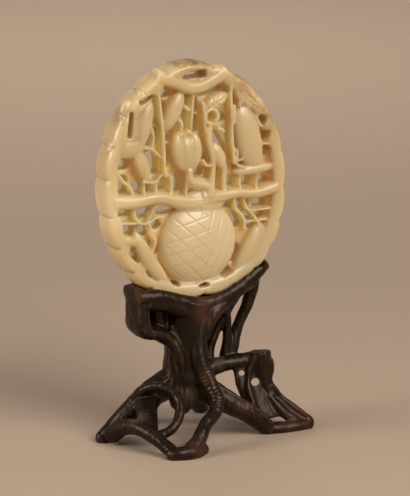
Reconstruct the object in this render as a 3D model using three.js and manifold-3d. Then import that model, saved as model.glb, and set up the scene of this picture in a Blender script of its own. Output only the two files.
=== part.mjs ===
// A pierced oval jade plaque, carved with a basket of flowers inside a lobed rim, standing in the
// groove of a hardwood stand that is carved as a gnarled root.
// Millimetres, +Z up, the front of the plaque faces -Y. The origin lies on the table plane, under
// the middle of the footprint. The inner group is laid out from the upright axis of the plaque.

import * as THREE from "three";
import { mergeVertices } from "three/addons/utils/BufferGeometryUtils.js";
import Module from "manifold-3d";

const wasm = await Module();
wasm.setup();

// The carving is laid out from a point a little above the middle of the oval.
// The oval is fuller below than above, and leans a little to the left as it stands.
const PLAQUE = {
  halfWidth: 31,
  halfHeight: 37.2,
  upperFullness: 1.96,
  lowerFullness: 2.35,
  leanDegrees: 4,
  ovalDrop: 1.2,
  carvingHeight: 82,
};
const RIM = { lobes: 20, topLobeDegrees: 16, lobeDepth: 1.1, stepsPerLobe: 3 };
const FRONT = { ground: -0.8, face: -4.8, bar: -4.7, rooted: 0.2 };
const BACK_GROUND = 4.2;
const CELL_CORNER = 0.7;
const GROOVE = { gap: 0.35, halfDepth: 5.4 };
const FOOTPRINT_CENTRE = { x: 3.375, y: -1.153 };

// Section of the plaque from the middle of its front to the middle of its back: the share of the
// way out to the rim, and the depth.
const PLAQUE_SECTION = [
  [0, FRONT.ground],
  [0.84, FRONT.ground],
  [0.87, -4.4],
  [0.95, -5],
  [1, -2.4],
  [1, 2.4],
  [0.95, 5],
  [0.9, BACK_GROUND],
  [0, BACK_GROUND],
];

// Rows of cells sawn through the plaque: the two ends of the row, its sideways bow, the number of
// cells, their breadth across the row and the wall left between them.
const CELL_ROWS = [
  // over and under the left ribbon, then down beside the basket
  { from: [-27.2, 0.2], to: [-3.2, -2.4], bow: 0.6, count: 4, breadth: 4.4, wall: 0.8 },
  { from: [-27.6, -9.2], to: [-5.2, -9.3], bow: -0.3, count: 3, breadth: 3.4, wall: 0.9 },
  { from: [-25.4, -14.6], to: [-11.4, -14.2], bow: -0.4, count: 2, breadth: 3.8, wall: 0.9 },
  { from: [-14.6, -17.6], to: [-11.6, -25.6], bow: -0.6, count: 1, breadth: 2.6, wall: 1 },
  // over and under the right ribbon, then down beside the basket
  { from: [5.6, -0.8], to: [26.4, -2.8], bow: -0.5, count: 4, breadth: 3.8, wall: 0.8 },
  { from: [8.2, -9.8], to: [25.8, -10.6], bow: -0.4, count: 3, breadth: 3.6, wall: 0.9 },
  { from: [12.6, -14.6], to: [24.4, -14.8], bow: 0, count: 2, breadth: 3.2, wall: 0.9 },
  { from: [15.9, -23.4], to: [12.6, -29], bow: 0.4, count: 1, breadth: 2.2, wall: 0 },
  // upper left, between the rim and the handle
  { from: [-14.7, 25.2], to: [-13.6, 1], bow: -1, count: 3, breadth: 3.6, wall: 0.9 },
  { from: [-27.8, 5.4], to: [-21.2, 5.6], bow: 0, count: 1, breadth: 4, wall: 0 },
  // inside the handle
  { from: [-9.6, 31], to: [-10.8, 20.4], bow: 0.2, count: 1, breadth: 3.8, wall: 0 },
  { from: [-10.6, 12], to: [-6, 16.6], bow: 0, count: 1, breadth: 3.2, wall: 0 },
  { from: [-9.6, 10.2], to: [-9.3, 2.4], bow: 0, count: 1, breadth: 2, wall: 0 },
  { from: [-2.8, 26.2], to: [-3.4, 13.6], bow: 0, count: 1, breadth: 3.2, wall: 0 },
  { from: [1, 23], to: [1, 11.4], bow: 0, count: 1, breadth: 2.8, wall: 0 },
  { from: [0.8, 24.8], to: [10.2, 28], bow: -0.4, count: 1, breadth: 3.2, wall: 0 },
  { from: [6.2, 13.4], to: [11, 5.4], bow: 0.4, count: 1, breadth: 3.4, wall: 0 },
  { from: [2.2, 10.4], to: [2.6, 4.8], bow: 0, count: 1, breadth: 3, wall: 0 },
  // upper right, between the handle and the big leaf
  { from: [13.3, 12], to: [14, 2.8], bow: 0, count: 1, breadth: 2, wall: 0 },
];

// Rows of cells that follow the inside of the rim: degrees round from the top, to the right.
const RIM_CELL_ROWS = [
  { from: 129, to: 241, count: 6, share: 0.86, breadth: 2.4, wall: 3 },
  { from: 60, to: 92, count: 3, share: 0.835, breadth: 3, wall: 1 },
  { from: 34, to: 47, count: 1, share: 0.765, breadth: 3, wall: 0.6 },
];

// Leaves, petals and buds: base, tip, width, sideways bow, and how pointed the ends are.
const LEAVES = [
  // left of the handle
  { base: [-15, 25.2], tip: [-18.8, 10.4], width: 5.4, bow: 0.5, pointed: 1.1 },
  { base: [-22, 25.4], tip: [-22.6, 9.6], width: 7.2, bow: 0, pointed: 0.7 },
  { base: [-29.2, 11.2], tip: [-17, 10.8], width: 7, bow: 0, pointed: 0.9 },
  { base: [-20.4, 10.8], tip: [-16.2, 0.2], width: 5.2, bow: 0.2, pointed: 1.1 },
  // inside the handle
  { base: [-4.4, 27.2], tip: [-10.4, 15], width: 5.4, bow: 0, pointed: 1.1 },
  { base: [3, 21], tip: [11, 25], width: 4.8, bow: 0.3, pointed: 1.2 },
  { base: [5.8, 10], tip: [9.8, 1.6], width: 4.8, bow: 0, pointed: 1 },
  { base: [-3, 1.4], tip: [-6.2, 14.3], width: 5, bow: -1.2, pointed: 1.1 },
  { base: [-1.8, 1.4], tip: [-0.2, 13.8], width: 5, bow: 0.9, pointed: 1.1 },
  { base: [-2.4, 1], tip: [-2.9, 12.9], width: 6.4, bow: 0, pointed: 0.9 },
  // right of the handle
  { base: [15.9, 20.8], tip: [20.9, -0.4], width: 8.8, bow: 0, pointed: 0.85 },
  { base: [13.2, 0], tip: [27.2, 0.9], width: 3.6, bow: 0, pointed: 0.8 },
  // round the basket
  { base: [-6.4, -8.4], tip: [10.4, -8.2], width: 8, bow: 0, pointed: 0.8 },
  { base: [-20.6, -15.4], tip: [-9.6, -32.4], width: 5.2, bow: 1.2, pointed: 0.9 },
  { base: [23, -16.6], tip: [14.4, -32], width: 6.4, bow: -0.8, pointed: 0.9 },
];

// Stems, bars and ribbons: x, z and half width at each station.
const LEFT_BAR = [[-13.4, 31, 0.7], [-12.4, 22, 0.6], [-11.4, 12, 0.6], [-10.6, 1, 0.7]];
const RIGHT_BAR = [[11.6, 30.4, 0.7], [12, 20, 0.6], [12.3, 11, 0.6], [13, 3, 0.7]];
const SWAG = [[-12.8, 32.2, 1.9], [-7, 30, 2.2], [-1, 27.9, 2.3], [5.6, 29.6, 2.2], [9.8, 31.8, 1.9]];
const LEFT_RIBBON = [[-28, -5.4, 2.5], [-20, -5.9, 2.3], [-12.6, -5.4, 2.2], [-5, -7.4, 2.4], [3, -8.2, 2.6]];
const RIGHT_RIBBON = [[2, -7, 2.6], [8, -6.8, 2.2], [14.6, -6.4, 1.8], [20.4, -7, 1.9], [28, -5.8, 2.1]];
const RIGHT_STEM = [[5, 16.8, 0.9], [4.2, 12, 1.3], [5.3, 7, 1.1], [5.6, 0, 1.2], [4.4, -6.4, 2]];
const LEFT_STEM = [[-2.4, 2.6, 1.5], [-1.7, -0.8, 1.5], [1.2, -2.3, 1.6], [4.4, -4, 1.9], [4, -6.6, 2.1]];
const CURL = { x: 5.1, z: 18.6, radius: 2.2, halfWidth: 0.8, turnDegrees: 300 };
const HANGING_HOLE = { from: [-4.7, 31.9], to: [3.3, 31.9], bow: 0.2, count: 1, breadth: 2.8, wall: 0 };
const SLOT = { from: [-22.2, 22.6], to: [-22.8, 14.2], bow: 0, count: 1, breadth: 2, wall: 0 };
const BASKET = { x: 1.3, z: -21, y: -1.6, halfWidth: 13.2, halfHeight: 13.2, halfDepth: 5.1 };
const WEAVE = { lines: 3, spacing: 5.6, width: 0.9, depthShare: 0.955, leanDegrees: 36 };

// Limbs of the stand: x, y, z and radius at each station.
const SADDLE = [
  [-20.2, 0, 46.2, 2.8], [-16, 0, 46.4, 3], [-11, 0, 45.4, 3], [-6, 0, 43.8, 3], [-1, 0, 42.5, 3],
  [4, 0, 42.3, 3], [9, 0, 43.5, 3], [14, 0, 45.8, 2.9], [19, 0, 48.8, 2.8], [23, 0, 51, 2.5],
  [25.4, 0, 51.4, 1.8],
];
const LEFT_BRACKET = [
  [-18.2, 0, 46.4, 2.4], [-18.6, 0, 40.6, 2.3], [-18, 0, 35.8, 2.4], [-12.4, 0, 33.6, 2.3],
  [-4, 0, 28.4, 2.2],
];
const RIGHT_ARM = [[0, 0, 33, 4.6], [5, 0, 39, 4.2], [12, 0, 43.4, 3.4], [20, 0, 47.6, 3]];
const RIGHT_WEB = [[18.6, -2, 22, 1.5], [19, -4, 16, 1.6], [20.4, -6.6, 9.6, 1.6], [22, -9.4, 4, 1.5]];
const KNOT_HOLES = [{ x: 20, z: 15, radius: 1.2 }, { x: 15.2, z: 18.4, radius: 0.9 }];
const LIMBS = {
  trunk: [[0, 0, 43, 8.2], [-0.8, 0, 36, 7.4], [-2, 0, 28, 6.4], [-2, 0, 21, 7], [-2, -1, 14, 6.4]],
  leftShoulder: [[-7, 2, 46, 3.6], [-10, 2.6, 41, 3.4], [-9.4, 2, 35, 3], [-5, 0, 29, 3]],
  rightOuterBranch: [[22.4, 1, 49, 2.6], [21.6, 1.4, 42, 2], [17.2, 1.4, 32, 1.8], [13, 0.5, 21, 2.4]],
  rightInnerBranch: [[9, -1, 42, 2.6], [12.4, 0, 36, 1.5], [12.8, 0.4, 30, 1.4], [12, 0.4, 22, 2]],
  rightMiddleBranch: [
    [6.4, 2, 20, 2.4], [7.6, 2, 27, 2], [9.4, 2, 32, 2.2], [12.6, 1, 38, 2.2], [15, 0, 43, 2.4],
  ],
  stump: [[22.6, -3, 24.4, 3.6], [22.8, -3.4, 19.5, 3.5], [23.2, -4, 14, 3]],
  rightRoot: [
    [1, 0, 18, 4], [9, -1, 20.8, 2.6], [17, -2, 21.6, 2.5], [23.8, -3, 20.8, 3], [23.4, -4.2, 14.6, 3],
    [26.2, -5.8, 9.6, 2.7], [31.6, -8.4, 5, 2.4], [36.8, -11.2, 1.4, 1.8],
  ],
  rightFrontRoot: [[1, -3, 15.4, 4.4], [9, -8.6, 10.6, 3.6], [15, -10.2, 6.8, 3.2], [22, -11.2, 0.8, 2.6]],
  rightGroundRoot: [[20, -11.2, 1.6, 2.2], [28, -12.2, 1.2, 2], [36.6, -11.4, 1.2, 1.8]],
  frontRoot: [
    [1.5, -3, 41, 3], [0, -5, 32, 3], [-0.2, -7, 24, 3], [1.6, -10.2, 17.4, 2.6], [2.2, -13.4, 13.8, 2.4],
    [-0.2, -17, 10.6, 2.2], [-5.6, -20.6, 7.8, 2.2], [-9.6, -23.6, 4, 2.4], [-13.4, -25.4, 1.4, 2.6],
  ],
  frontFoot: [[-7, -23.2, 1.4, 2], [-13.4, -26, 1.2, 2.6], [-20, -25, 1.2, 2.2]],
  leftRoot: [
    [-3, 0, 18, 5], [-10.5, 0.4, 16, 4.2], [-17, 1.2, 11.8, 3.6], [-22.6, 2.2, 6.4, 3.4],
    [-28, 3, 1.4, 2.8], [-30.4, 3, 0.4, 2],
  ],
  leftFrontStrand: [
    [-27.5, 0, 2.5, 2.8], [-25.8, -5.6, 6.2, 2.6], [-23.4, -12, 7, 2.4], [-21, -18, 5, 2.2],
    [-18.4, -23.6, 2, 2.2],
  ],
  leftApron: [[-16, 0, 12, 3.4], [-19, -6, 10.4, 2.8], [-20.8, -12, 7.6, 2.4], [-21, -17, 5, 1.8]],
  leftInnerApron: [[-13, 0, 13, 3], [-16.2, -4.5, 11, 2.4], [-18, -9, 8.6, 2], [-19.5, -13, 6.6, 1.8]],
  loop: [
    [-19, 1, 12.5, 2], [-17, -3.4, 16.8, 1.7], [-13.4, -8, 18, 1.5], [-11, -12.4, 15.4, 1.5],
    [-11.8, -16, 11.4, 1.5], [-15.6, -18.4, 7.6, 1.6], [-20.6, -17.6, 5.4, 1.6],
  ],
  burl: [[-2, 0, 20, 4.6], [-4, -2.6, 14, 5], [-5.2, -4.4, 9.6, 3.4]],
  backRoot: [[0, 1, 19, 4.4], [5, 9.6, 14, 4], [10, 16.6, 8, 3.4], [14.4, 21.8, 2, 3], [16, 24.6, 0.4, 2.4]],
  backLeftRoot: [
    [-3, 1, 17, 4.2], [-6, 9, 11.6, 3.4], [-8.4, 16, 5.6, 2.8], [-9.4, 21, 1.2, 2.6], [-9.8, 23.4, 0.4, 2.2],
  ],
};
const LIMB_SIDES = 7;
const STEPS_PER_STATION = 1.5;

const radians = THREE.MathUtils.degToRad;

function solidOf(geometry) {
  geometry.deleteAttribute("normal");
  geometry.deleteAttribute("uv");
  const merged = mergeVertices(geometry, 1e-4);
  const corners = merged.index.array;
  const kept = [];
  for (let i = 0; i < corners.length; i += 3) {
    const [a, b, c] = [corners[i], corners[i + 1], corners[i + 2]];
    if (a !== b && b !== c && c !== a) {
      kept.push(a, b, c);
    }
  }
  return new wasm.Manifold(new wasm.Mesh({
    numProp: 3,
    vertProperties: new Float32Array(merged.attributes.position.array),
    triVerts: new Uint32Array(kept),
  }));
}

function meshOf(name, solid, material) {
  const surface = solid.getMesh();
  const geometry = new THREE.BufferGeometry();
  geometry.setAttribute("position", new THREE.BufferAttribute(surface.vertProperties, 3));
  geometry.setIndex(new THREE.BufferAttribute(surface.triVerts, 1));
  geometry.computeVertexNormals();
  const mesh = new THREE.Mesh(geometry, material);
  mesh.name = name;
  return mesh;
}

function joined(solids) {
  return solids.reduce((whole, solid) => whole.add(solid));
}

function reshape(geometry, move) {
  const position = geometry.attributes.position;
  const point = new THREE.Vector3();
  for (let i = 0; i < position.count; i++) {
    point.fromBufferAttribute(position, i);
    move(point);
    position.setXYZ(i, point.x, point.y, point.z);
  }
  return geometry;
}

// A tapering limb along a smooth path. Depth stretches its section sideways, which is along Y
// for a path that stays upright, and a high squareness turns the oval section into a rounded box.
function limb(stations, { depth = 1, squareness = 2, sides = LIMB_SIDES } = {}) {
  const curve = new THREE.CatmullRomCurve3(stations.map(([x, y, z]) => new THREE.Vector3(x, y, z)));
  const spans = stations.length - 1;
  const steps = Math.ceil(STEPS_PER_STATION * spans);
  const frames = curve.computeFrenetFrames(steps);
  const radiusAt = (along) => {
    const span = Math.min(Math.floor(along), spans - 1);
    return THREE.MathUtils.lerp(stations[span][3], stations[span + 1][3], along - span);
  };
  const geometry = new THREE.CylinderGeometry(1, 1, 1, sides, steps);
  return solidOf(reshape(geometry, (point) => {
    const step = Math.round((point.y + 0.5) * steps);
    const share = step / steps;
    const power = Math.abs(point.x) ** squareness + Math.abs(point.z) ** squareness;
    const size = power > 0 ? radiusAt(curve.getUtoTmapping(share) * spans) * power ** (-1 / squareness) : 0;
    const across = point.x * size;
    const sideways = point.z * size * depth;
    point.copy(curve.getPointAt(share));
    point.addScaledVector(frames.binormals[step], across);
    point.addScaledVector(frames.normals[step], sideways);
  }));
}

// A stem or ribbon lying in the plane of the plaque, rooted in the ground.
function band(stations, front) {
  const level = (front + FRONT.rooted) / 2;
  const broad = stations.reduce((sum, [, , half]) => sum + half, 0) / stations.length;
  const depth = (FRONT.rooted - front) / 2 / broad;
  return limb(stations.map(([x, z, half]) => [x, level, z, half]), { depth, sides: 5 });
}

// A plump leaf from base to tip in the plane of the plaque, rooted in the ground.
function leaf({ base, tip, width, bow, pointed }) {
  const level = (FRONT.face + FRONT.rooted) / 2;
  const half = (FRONT.rooted - FRONT.face) / 2;
  const start = new THREE.Vector3(base[0], level, base[1]);
  const end = new THREE.Vector3(tip[0], level, tip[1]);
  const axis = end.clone().sub(start);
  const across = new THREE.Vector3(axis.z, 0, -axis.x).normalize();
  const middle = start.clone().lerp(end, 0.5);
  const geometry = new THREE.SphereGeometry(1, 6, 4);
  return solidOf(reshape(geometry, (point) => {
    const along = point.y;
    const taper = Math.sqrt(Math.max(1e-6, 1 - along * along));
    const sideways = point.x * taper ** (pointed - 1) * width / 2 + bow * taper * taper;
    const forward = point.z * half;
    point.copy(middle);
    point.addScaledVector(axis, along / 2);
    point.addScaledVector(across, sideways);
    point.y -= forward;
  }));
}

// A point of the leaning oval at an angle round from its top.
function ovalPoint(angle, share, grow = 0) {
  const fullness = Math.cos(angle) < 0 ? PLAQUE.lowerFullness : PLAQUE.upperFullness;
  const full = (value) => Math.sign(value) * Math.abs(value) ** (2 / fullness);
  const across = (PLAQUE.halfWidth + grow) * share * full(Math.sin(angle));
  const up = (PLAQUE.halfHeight + grow) * share * full(Math.cos(angle));
  const lean = radians(PLAQUE.leanDegrees);
  return [
    across * Math.cos(lean) - up * Math.sin(lean),
    across * Math.sin(lean) + up * Math.cos(lean) - PLAQUE.ovalDrop,
  ];
}

// Distance from the middle of the plaque to its lobed outline, as a share of the plain oval.
function lobeShare(angle) {
  const top = radians(RIM.topLobeDegrees);
  const turn = Math.atan2(Math.sin(angle), Math.cos(angle));
  const around = Math.abs(turn);
  const lobe = (2 * Math.PI - 2 * top) / RIM.lobes;
  const phase = around < top ? turn / top : 2 * (((around - top) / lobe) % 1) - 1;
  const notch = 1 - Math.sqrt(Math.max(0, 1 - 0.94 * phase * phase));
  return 1 - notch * RIM.lobeDepth / PLAQUE.halfHeight;
}

// Angles at which the outline is sampled, with a sample in every notch between lobes.
function outlineAngles() {
  const top = radians(RIM.topLobeDegrees);
  const lobe = (2 * Math.PI - 2 * top) / RIM.lobes;
  const angles = [];
  for (let i = 0; i < 2 * RIM.stepsPerLobe; i++) {
    angles.push(-top + (i * top) / RIM.stepsPerLobe);
  }
  for (let i = 0; i < RIM.lobes * RIM.stepsPerLobe; i++) {
    angles.push(top + (i * lobe) / RIM.stepsPerLobe);
  }
  return angles;
}

function plaqueBlank() {
  const angles = outlineAngles();
  const profile = PLAQUE_SECTION.map(([share, y]) => new THREE.Vector2(share, y));
  const geometry = new THREE.LatheGeometry(profile, angles.length);
  return solidOf(reshape(geometry, (point) => {
    const share = Math.hypot(point.x, point.z);
    const turn = Math.atan2(point.x, point.z) / (2 * Math.PI);
    const index = Math.round((turn < 0 ? turn + 1 : turn) * angles.length) % angles.length;
    const [x, z] = ovalPoint(angles[index], share * lobeShare(angles[index]));
    point.x = x;
    point.z = z;
  }));
}

// One straight sawn cell through the whole plaque: a long hexagon with its points along the row.
function cell(x, z, length, breadth, heading) {
  const geometry = new THREE.CylinderGeometry(1, 1, 20, 6);
  reshape(geometry, (point) => {
    const corner = Math.abs(point.z) > 0.9 ? 1 : CELL_CORNER;
    const along = Math.abs(point.z) > 0.1 ? Math.sign(point.z) * corner : 0;
    const across = Math.abs(point.x) > 0.1 ? -Math.sign(point.x) : 0;
    point.set((along * length) / 2, point.y, (across * breadth) / 2);
  });
  geometry.rotateY(-heading);
  geometry.translate(x, 0, z);
  return solidOf(geometry);
}

function cellRow({ from, to, bow, count, breadth, wall }) {
  const reach = [to[0] - from[0], to[1] - from[1]];
  const long = Math.hypot(...reach);
  const heading = Math.atan2(reach[1], reach[0]);
  const cells = [];
  for (let i = 0; i < count; i++) {
    const share = (i + 0.5) / count;
    const rise = bow * 4 * share * (1 - share);
    const x = from[0] + reach[0] * share - (rise * reach[1]) / long;
    const z = from[1] + reach[1] * share + (rise * reach[0]) / long;
    cells.push(cell(x, z, long / count - wall, breadth, heading));
  }
  return joined(cells);
}

function rimCellRow({ from, to, count, share, breadth, wall }) {
  const at = (degrees) => ovalPoint(radians(degrees), share);
  const pitch = (to - from) / count;
  const cells = [];
  for (let i = 0; i < count; i++) {
    const start = at(from + i * pitch);
    const end = at(from + (i + 1) * pitch);
    const [x, z] = at(from + (i + 0.5) * pitch);
    const reach = [end[0] - start[0], end[1] - start[1]];
    cells.push(cell(x, z, Math.hypot(...reach) - wall, breadth, Math.atan2(reach[1], reach[0])));
  }
  return joined(cells);
}

function curl() {
  const stations = [];
  for (let i = 0; i <= 5; i++) {
    const turn = radians((i / 5) * CURL.turnDegrees - 60);
    stations.push([
      CURL.x + CURL.radius * Math.cos(turn),
      CURL.z + CURL.radius * Math.sin(turn),
      CURL.halfWidth,
    ]);
  }
  return band(stations, FRONT.bar);
}

function basketDome(scale) {
  const geometry = new THREE.SphereGeometry(1, 12, 6);
  geometry.scale(BASKET.halfWidth * scale, BASKET.halfDepth * scale, BASKET.halfHeight * scale);
  geometry.translate(BASKET.x, BASKET.y, BASKET.z);
  return solidOf(geometry);
}

// The basket: a dome with two sets of slanting grooves cut down to a slightly smaller dome.
function basket() {
  let strips = basketDome(1);
  for (const side of [-1, 1]) {
    for (let i = 0; i < WEAVE.lines; i++) {
      const offset = (i - (WEAVE.lines - 1) / 2) * WEAVE.spacing;
      const groove = new THREE.BoxGeometry(WEAVE.width, 20, 60);
      groove.translate(offset, 0, 0);
      groove.rotateY(side * radians(WEAVE.leanDegrees));
      groove.translate(BASKET.x, BASKET.y, BASKET.z);
      strips = strips.subtract(solidOf(groove));
    }
  }
  return strips.add(basketDome(WEAVE.depthShare));
}

function plaqueSolid() {
  const sawn = [...CELL_ROWS.map(cellRow), ...RIM_CELL_ROWS.map(rimCellRow)];
  const ground = plaqueBlank().subtract(joined(sawn));
  const relief = [
    ...LEAVES.map(leaf),
    band(LEFT_BAR, FRONT.bar),
    band(RIGHT_BAR, FRONT.bar),
    band(RIGHT_STEM, FRONT.face),
    band(LEFT_STEM, FRONT.bar),
    band(SWAG, -5),
    band(LEFT_RIBBON, FRONT.face),
    band(RIGHT_RIBBON, FRONT.face),
    curl(),
    basket(),
  ];
  return joined([ground, ...relief]).subtract(joined([cellRow(HANGING_HOLE), cellRow(SLOT)]));
}

// The room that the plaque takes up in the saddle, with a clearance all round.
function groove() {
  const geometry = new THREE.CylinderGeometry(1, 1, 2 * GROOVE.halfDepth, 44);
  return solidOf(reshape(geometry, (point) => {
    const share = Math.hypot(point.x, point.z);
    const [x, z] = ovalPoint(Math.atan2(point.x, point.z), share, GROOVE.gap);
    point.set(x, point.y, share > 0 ? z + PLAQUE.carvingHeight : PLAQUE.carvingHeight);
  }));
}

// A small hole from front to back through the web of the right root.
function knotHole({ x, z, radius }) {
  const geometry = new THREE.CylinderGeometry(radius, radius, 16, 8);
  geometry.translate(x, -6, z);
  return solidOf(geometry);
}

function standSolid() {
  const wood = [
    limb(SADDLE, { depth: 2.35, squareness: 4, sides: 10 }),
    limb(LEFT_BRACKET, { depth: 2.4 }),
    limb(RIGHT_ARM, { depth: 1.3 }),
    ...Object.values(LIMBS).map((stations) => limb(stations)),
  ];
  const web = limb(RIGHT_WEB, { depth: 3.4 }).subtract(joined(KNOT_HOLES.map(knotHole)));
  const below = new THREE.BoxGeometry(200, 200, 40);
  below.translate(0, 0, -20);
  return joined([...wood, web]).subtract(solidOf(below)).subtract(groove());
}

const jade = new THREE.MeshStandardMaterial({ name: "jade", color: "#e0c99a", roughness: 0.3 });
const wood = new THREE.MeshStandardMaterial({ name: "wood", color: "#2a1a14", roughness: 0.35 });

const carving = new THREE.Group();
carving.name = "carving";
const plaque = meshOf("jade_plaque", plaqueSolid(), jade);
plaque.position.z = PLAQUE.carvingHeight;
carving.add(plaque, meshOf("wood_stand", standSolid(), wood));
carving.position.set(-FOOTPRINT_CENTRE.x, -FOOTPRINT_CENTRE.y, 0);

export default carving;
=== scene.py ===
"""Carves the pierced jade plaque and its root-wood stand, and lays out a plain stage round them."""

import math

import bmesh
import bpy
import numpy as np
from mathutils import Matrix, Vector, noise


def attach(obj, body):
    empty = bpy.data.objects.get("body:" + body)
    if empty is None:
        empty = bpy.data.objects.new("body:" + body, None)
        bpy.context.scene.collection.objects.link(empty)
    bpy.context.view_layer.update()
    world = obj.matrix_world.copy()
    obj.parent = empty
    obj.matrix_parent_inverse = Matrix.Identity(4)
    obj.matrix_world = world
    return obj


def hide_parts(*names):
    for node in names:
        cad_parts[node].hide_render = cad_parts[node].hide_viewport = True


bl_info = {
    "name": "Jade Carving on a Root Stand",
    "version": (1, 0, 0),
    "blender": (4, 5, 0),
    "location": "View3D > Sidebar > Carving",
    "description": "Carves an openwork jade plaque and its root-wood stand, and lays out a stage",
    "category": "Object",
}

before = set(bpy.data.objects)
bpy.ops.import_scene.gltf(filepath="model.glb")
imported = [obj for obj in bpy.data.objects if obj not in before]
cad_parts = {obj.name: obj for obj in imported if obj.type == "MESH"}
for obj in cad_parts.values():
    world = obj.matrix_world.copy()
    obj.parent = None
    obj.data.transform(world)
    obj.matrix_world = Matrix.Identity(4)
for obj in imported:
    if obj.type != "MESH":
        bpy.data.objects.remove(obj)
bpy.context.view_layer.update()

# Both pieces are modelled in millimetres and settled into the frame in metres. The plaque is
# modelled round the middle of its carving, and the stand round the plaque's upright axis.
MM = 0.001
AXIS_X = -3.375 * MM
AXIS_Y = 1.153 * MM
CARVING_HEIGHT = 82 * MM

# The plaque's outline and the section of its rim, as (share of the way out, depth) pairs.
UPPER_FULLNESS = 1.96
LOWER_FULLNESS = 2.35
LEAN = math.radians(4)
OVAL_DROP = 1.2
TOP_LOBE = math.radians(16)
LOBE_DEPTH = 1.15
STEPS_PER_LOBE = 14
# Lines cut across the side of the rim, and the shares of the way out where they start and are full.
RIM_CUT = {"depth": 0.4, "half": 0.36, "from": 0.945, "full": 0.975}
SECTION = [
    (0.83, -0.8), (0.842, -1.3), (0.85, -2.6), (0.858, -3.8), (0.872, -4.4), (0.895, -4.7),
    (0.925, -4.85), (0.95, -4.95), (0.968, -4.85), (0.984, -4.3), (0.995, -3.4), (1.0, -2.3), (1.0, 2.4),
    (0.995, 3.6), (0.978, 4.6), (0.955, 5.0), (0.93, 4.7), (0.905, 4.2),
]

# Sawn pockets right through the plaque: from, to, and the breadth at each of these ends.
POCKETS = [
    # left of the handle
    ((-19.8, 24.9), (-14.2, 26.6), 2.4, 1.8),
    ((-13.9, 24.0), (-14.7, 17.2), 3.0, 4.8),
    ((-14.6, 16.4), (-14.3, 10.6), 4.8, 4.6),
    ((-14.5, 9.0), (-13.2, 1.6), 4.8, 3.4),
    ((-26.9, 5.2), (-21.6, 5.6), 2.6, 3.4),
    # inside the handle
    ((-10.0, 30.2), (-9.4, 25.2), 3.0, 4.6),
    ((-10.3, 24.4), (-10.9, 16.4), 3.2, 1.8),
    ((-6.2, 15.9), (-9.9, 11.9), 3.0, 3.2),
    ((-9.3, 10.8), (-9.1, 3.2), 2.0, 2.2),
    ((-2.9, 25.6), (-3.6, 20.2), 2.4, 3.4),
    ((-3.7, 19.4), (-3.1, 14.2), 4.0, 3.4),
    ((0.7, 24.8), (0.6, 19.8), 2.4, 3.0),
    ((0.6, 19.0), (0.9, 13.4), 3.0, 2.0),
    ((1.9, 25.2), (10.0, 27.6), 2.0, 3.8),
    ((8.6, 16.6), (10.9, 18.4), 3.2, 3.6),
    ((7.2, 13.4), (11.0, 5.6), 2.8, 3.2),
    ((2.7, 10.6), (3.4, 4.4), 2.8, 2.8),
    ((-0.5, 1.2), (3.6, 0.9), 2.4, 2.4),
    # right of the handle
    ((14.0, 25.4), (13.6, 21.0), 2.2, 2.2),
    ((16.2, 24.6), (20.0, 21.2), 2.6, 2.2),
    ((21.2, 16.4), (24.0, 15.2), 3.6, 3.2),
    ((23.2, 11.2), (25.2, 10.6), 3.8, 3.8),
    ((23.4, 6.0), (25.8, 5.4), 3.6, 3.4),
    ((13.2, 19.2), (13.2, 13.0), 1.6, 1.6),
    ((13.4, 11.6), (13.8, 7.6), 1.8, 2.2),
    ((13.9, 6.6), (14.3, 2.6), 2.2, 2.2),
    # the row over the ribbon
    ((-24.2, 2.4), (-24.2, -3.2), 4.4, 4.6),
    ((-20.8, -1.5), (-14.8, -2.0), 3.4, 4.2),
    ((-11.4, 0.8), (-11.3, -3.4), 4.2, 4.6),
    ((-6.2, 1.4), (-6.0, -4.6), 3.8, 4.8),
    ((-3.0, -4.2), (2.4, -4.8), 2.6, 2.0),
    ((7.8, 2.4), (7.8, -4.6), 2.8, 3.2),
    ((10.4, -2.6), (14.6, -3.0), 3.2, 3.4),
    ((15.5, -3.0), (20.2, -3.4), 3.3, 3.2),
    ((21.2, -3.4), (26.2, -3.6), 3.0, 2.2),
    # under the ribbon, left and right of the basket
    ((-27.0, -8.8), (-21.0, -9.2), 2.2, 3.0),
    ((-20.2, -10.4), (-13.2, -9.2), 3.4, 3.6),
    ((-12.4, -9.8), (-5.4, -9.6), 3.6, 2.4),
    ((-25.0, -14.2), (-19.8, -15.0), 3.6, 3.8),
    ((-18.6, -15.6), (-14.6, -15.4), 3.0, 3.6),
    ((-13.6, -15.0), (-11.2, -13.0), 3.2, 3.4),
    ((-14.6, -18.4), (-12.4, -23.4), 3.2, 2.4),
    ((-22.9, -20.6), (-18.9, -24.6), 2.6, 2.6),
    ((9.4, -9.4), (13.6, -10.0), 2.6, 3.2),
    ((14.6, -10.0), (19.8, -10.6), 3.0, 3.0),
    ((20.8, -10.6), (25.4, -10.8), 3.0, 2.4),
    ((13.6, -12.8), (16.0, -17.6), 2.6, 2.8),
    ((17.6, -14.0), (24.6, -14.2), 2.8, 2.8),
    ((18.0, -17.2), (22.8, -17.4), 2.0, 2.2),
    ((15.3, -22.6), (13.8, -28.6), 2.4, 2.4),
    # along the foot of the rim
    ((-17.3, -27.6), (-12.6, -31.2), 2.2, 1.6),
    ((-8.4, -32.3), (-5.4, -33.3), 1.1, 1.5),
    ((0.6, -34.4), (4.4, -34.0), 1.0, 1.6),
    ((9.0, -32.2), (12.6, -29.8), 1.6, 2.8),
]
# Windows cut through the finished relief: the hanging hole and a slot beside the rim.
WINDOWS = [
    ((-4.8, 31.7), (3.4, 32.3), 2.2, 3.2),
    ((-22.2, 22.6), (-22.8, 14.2), 1.9, 2.2),
]

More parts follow.
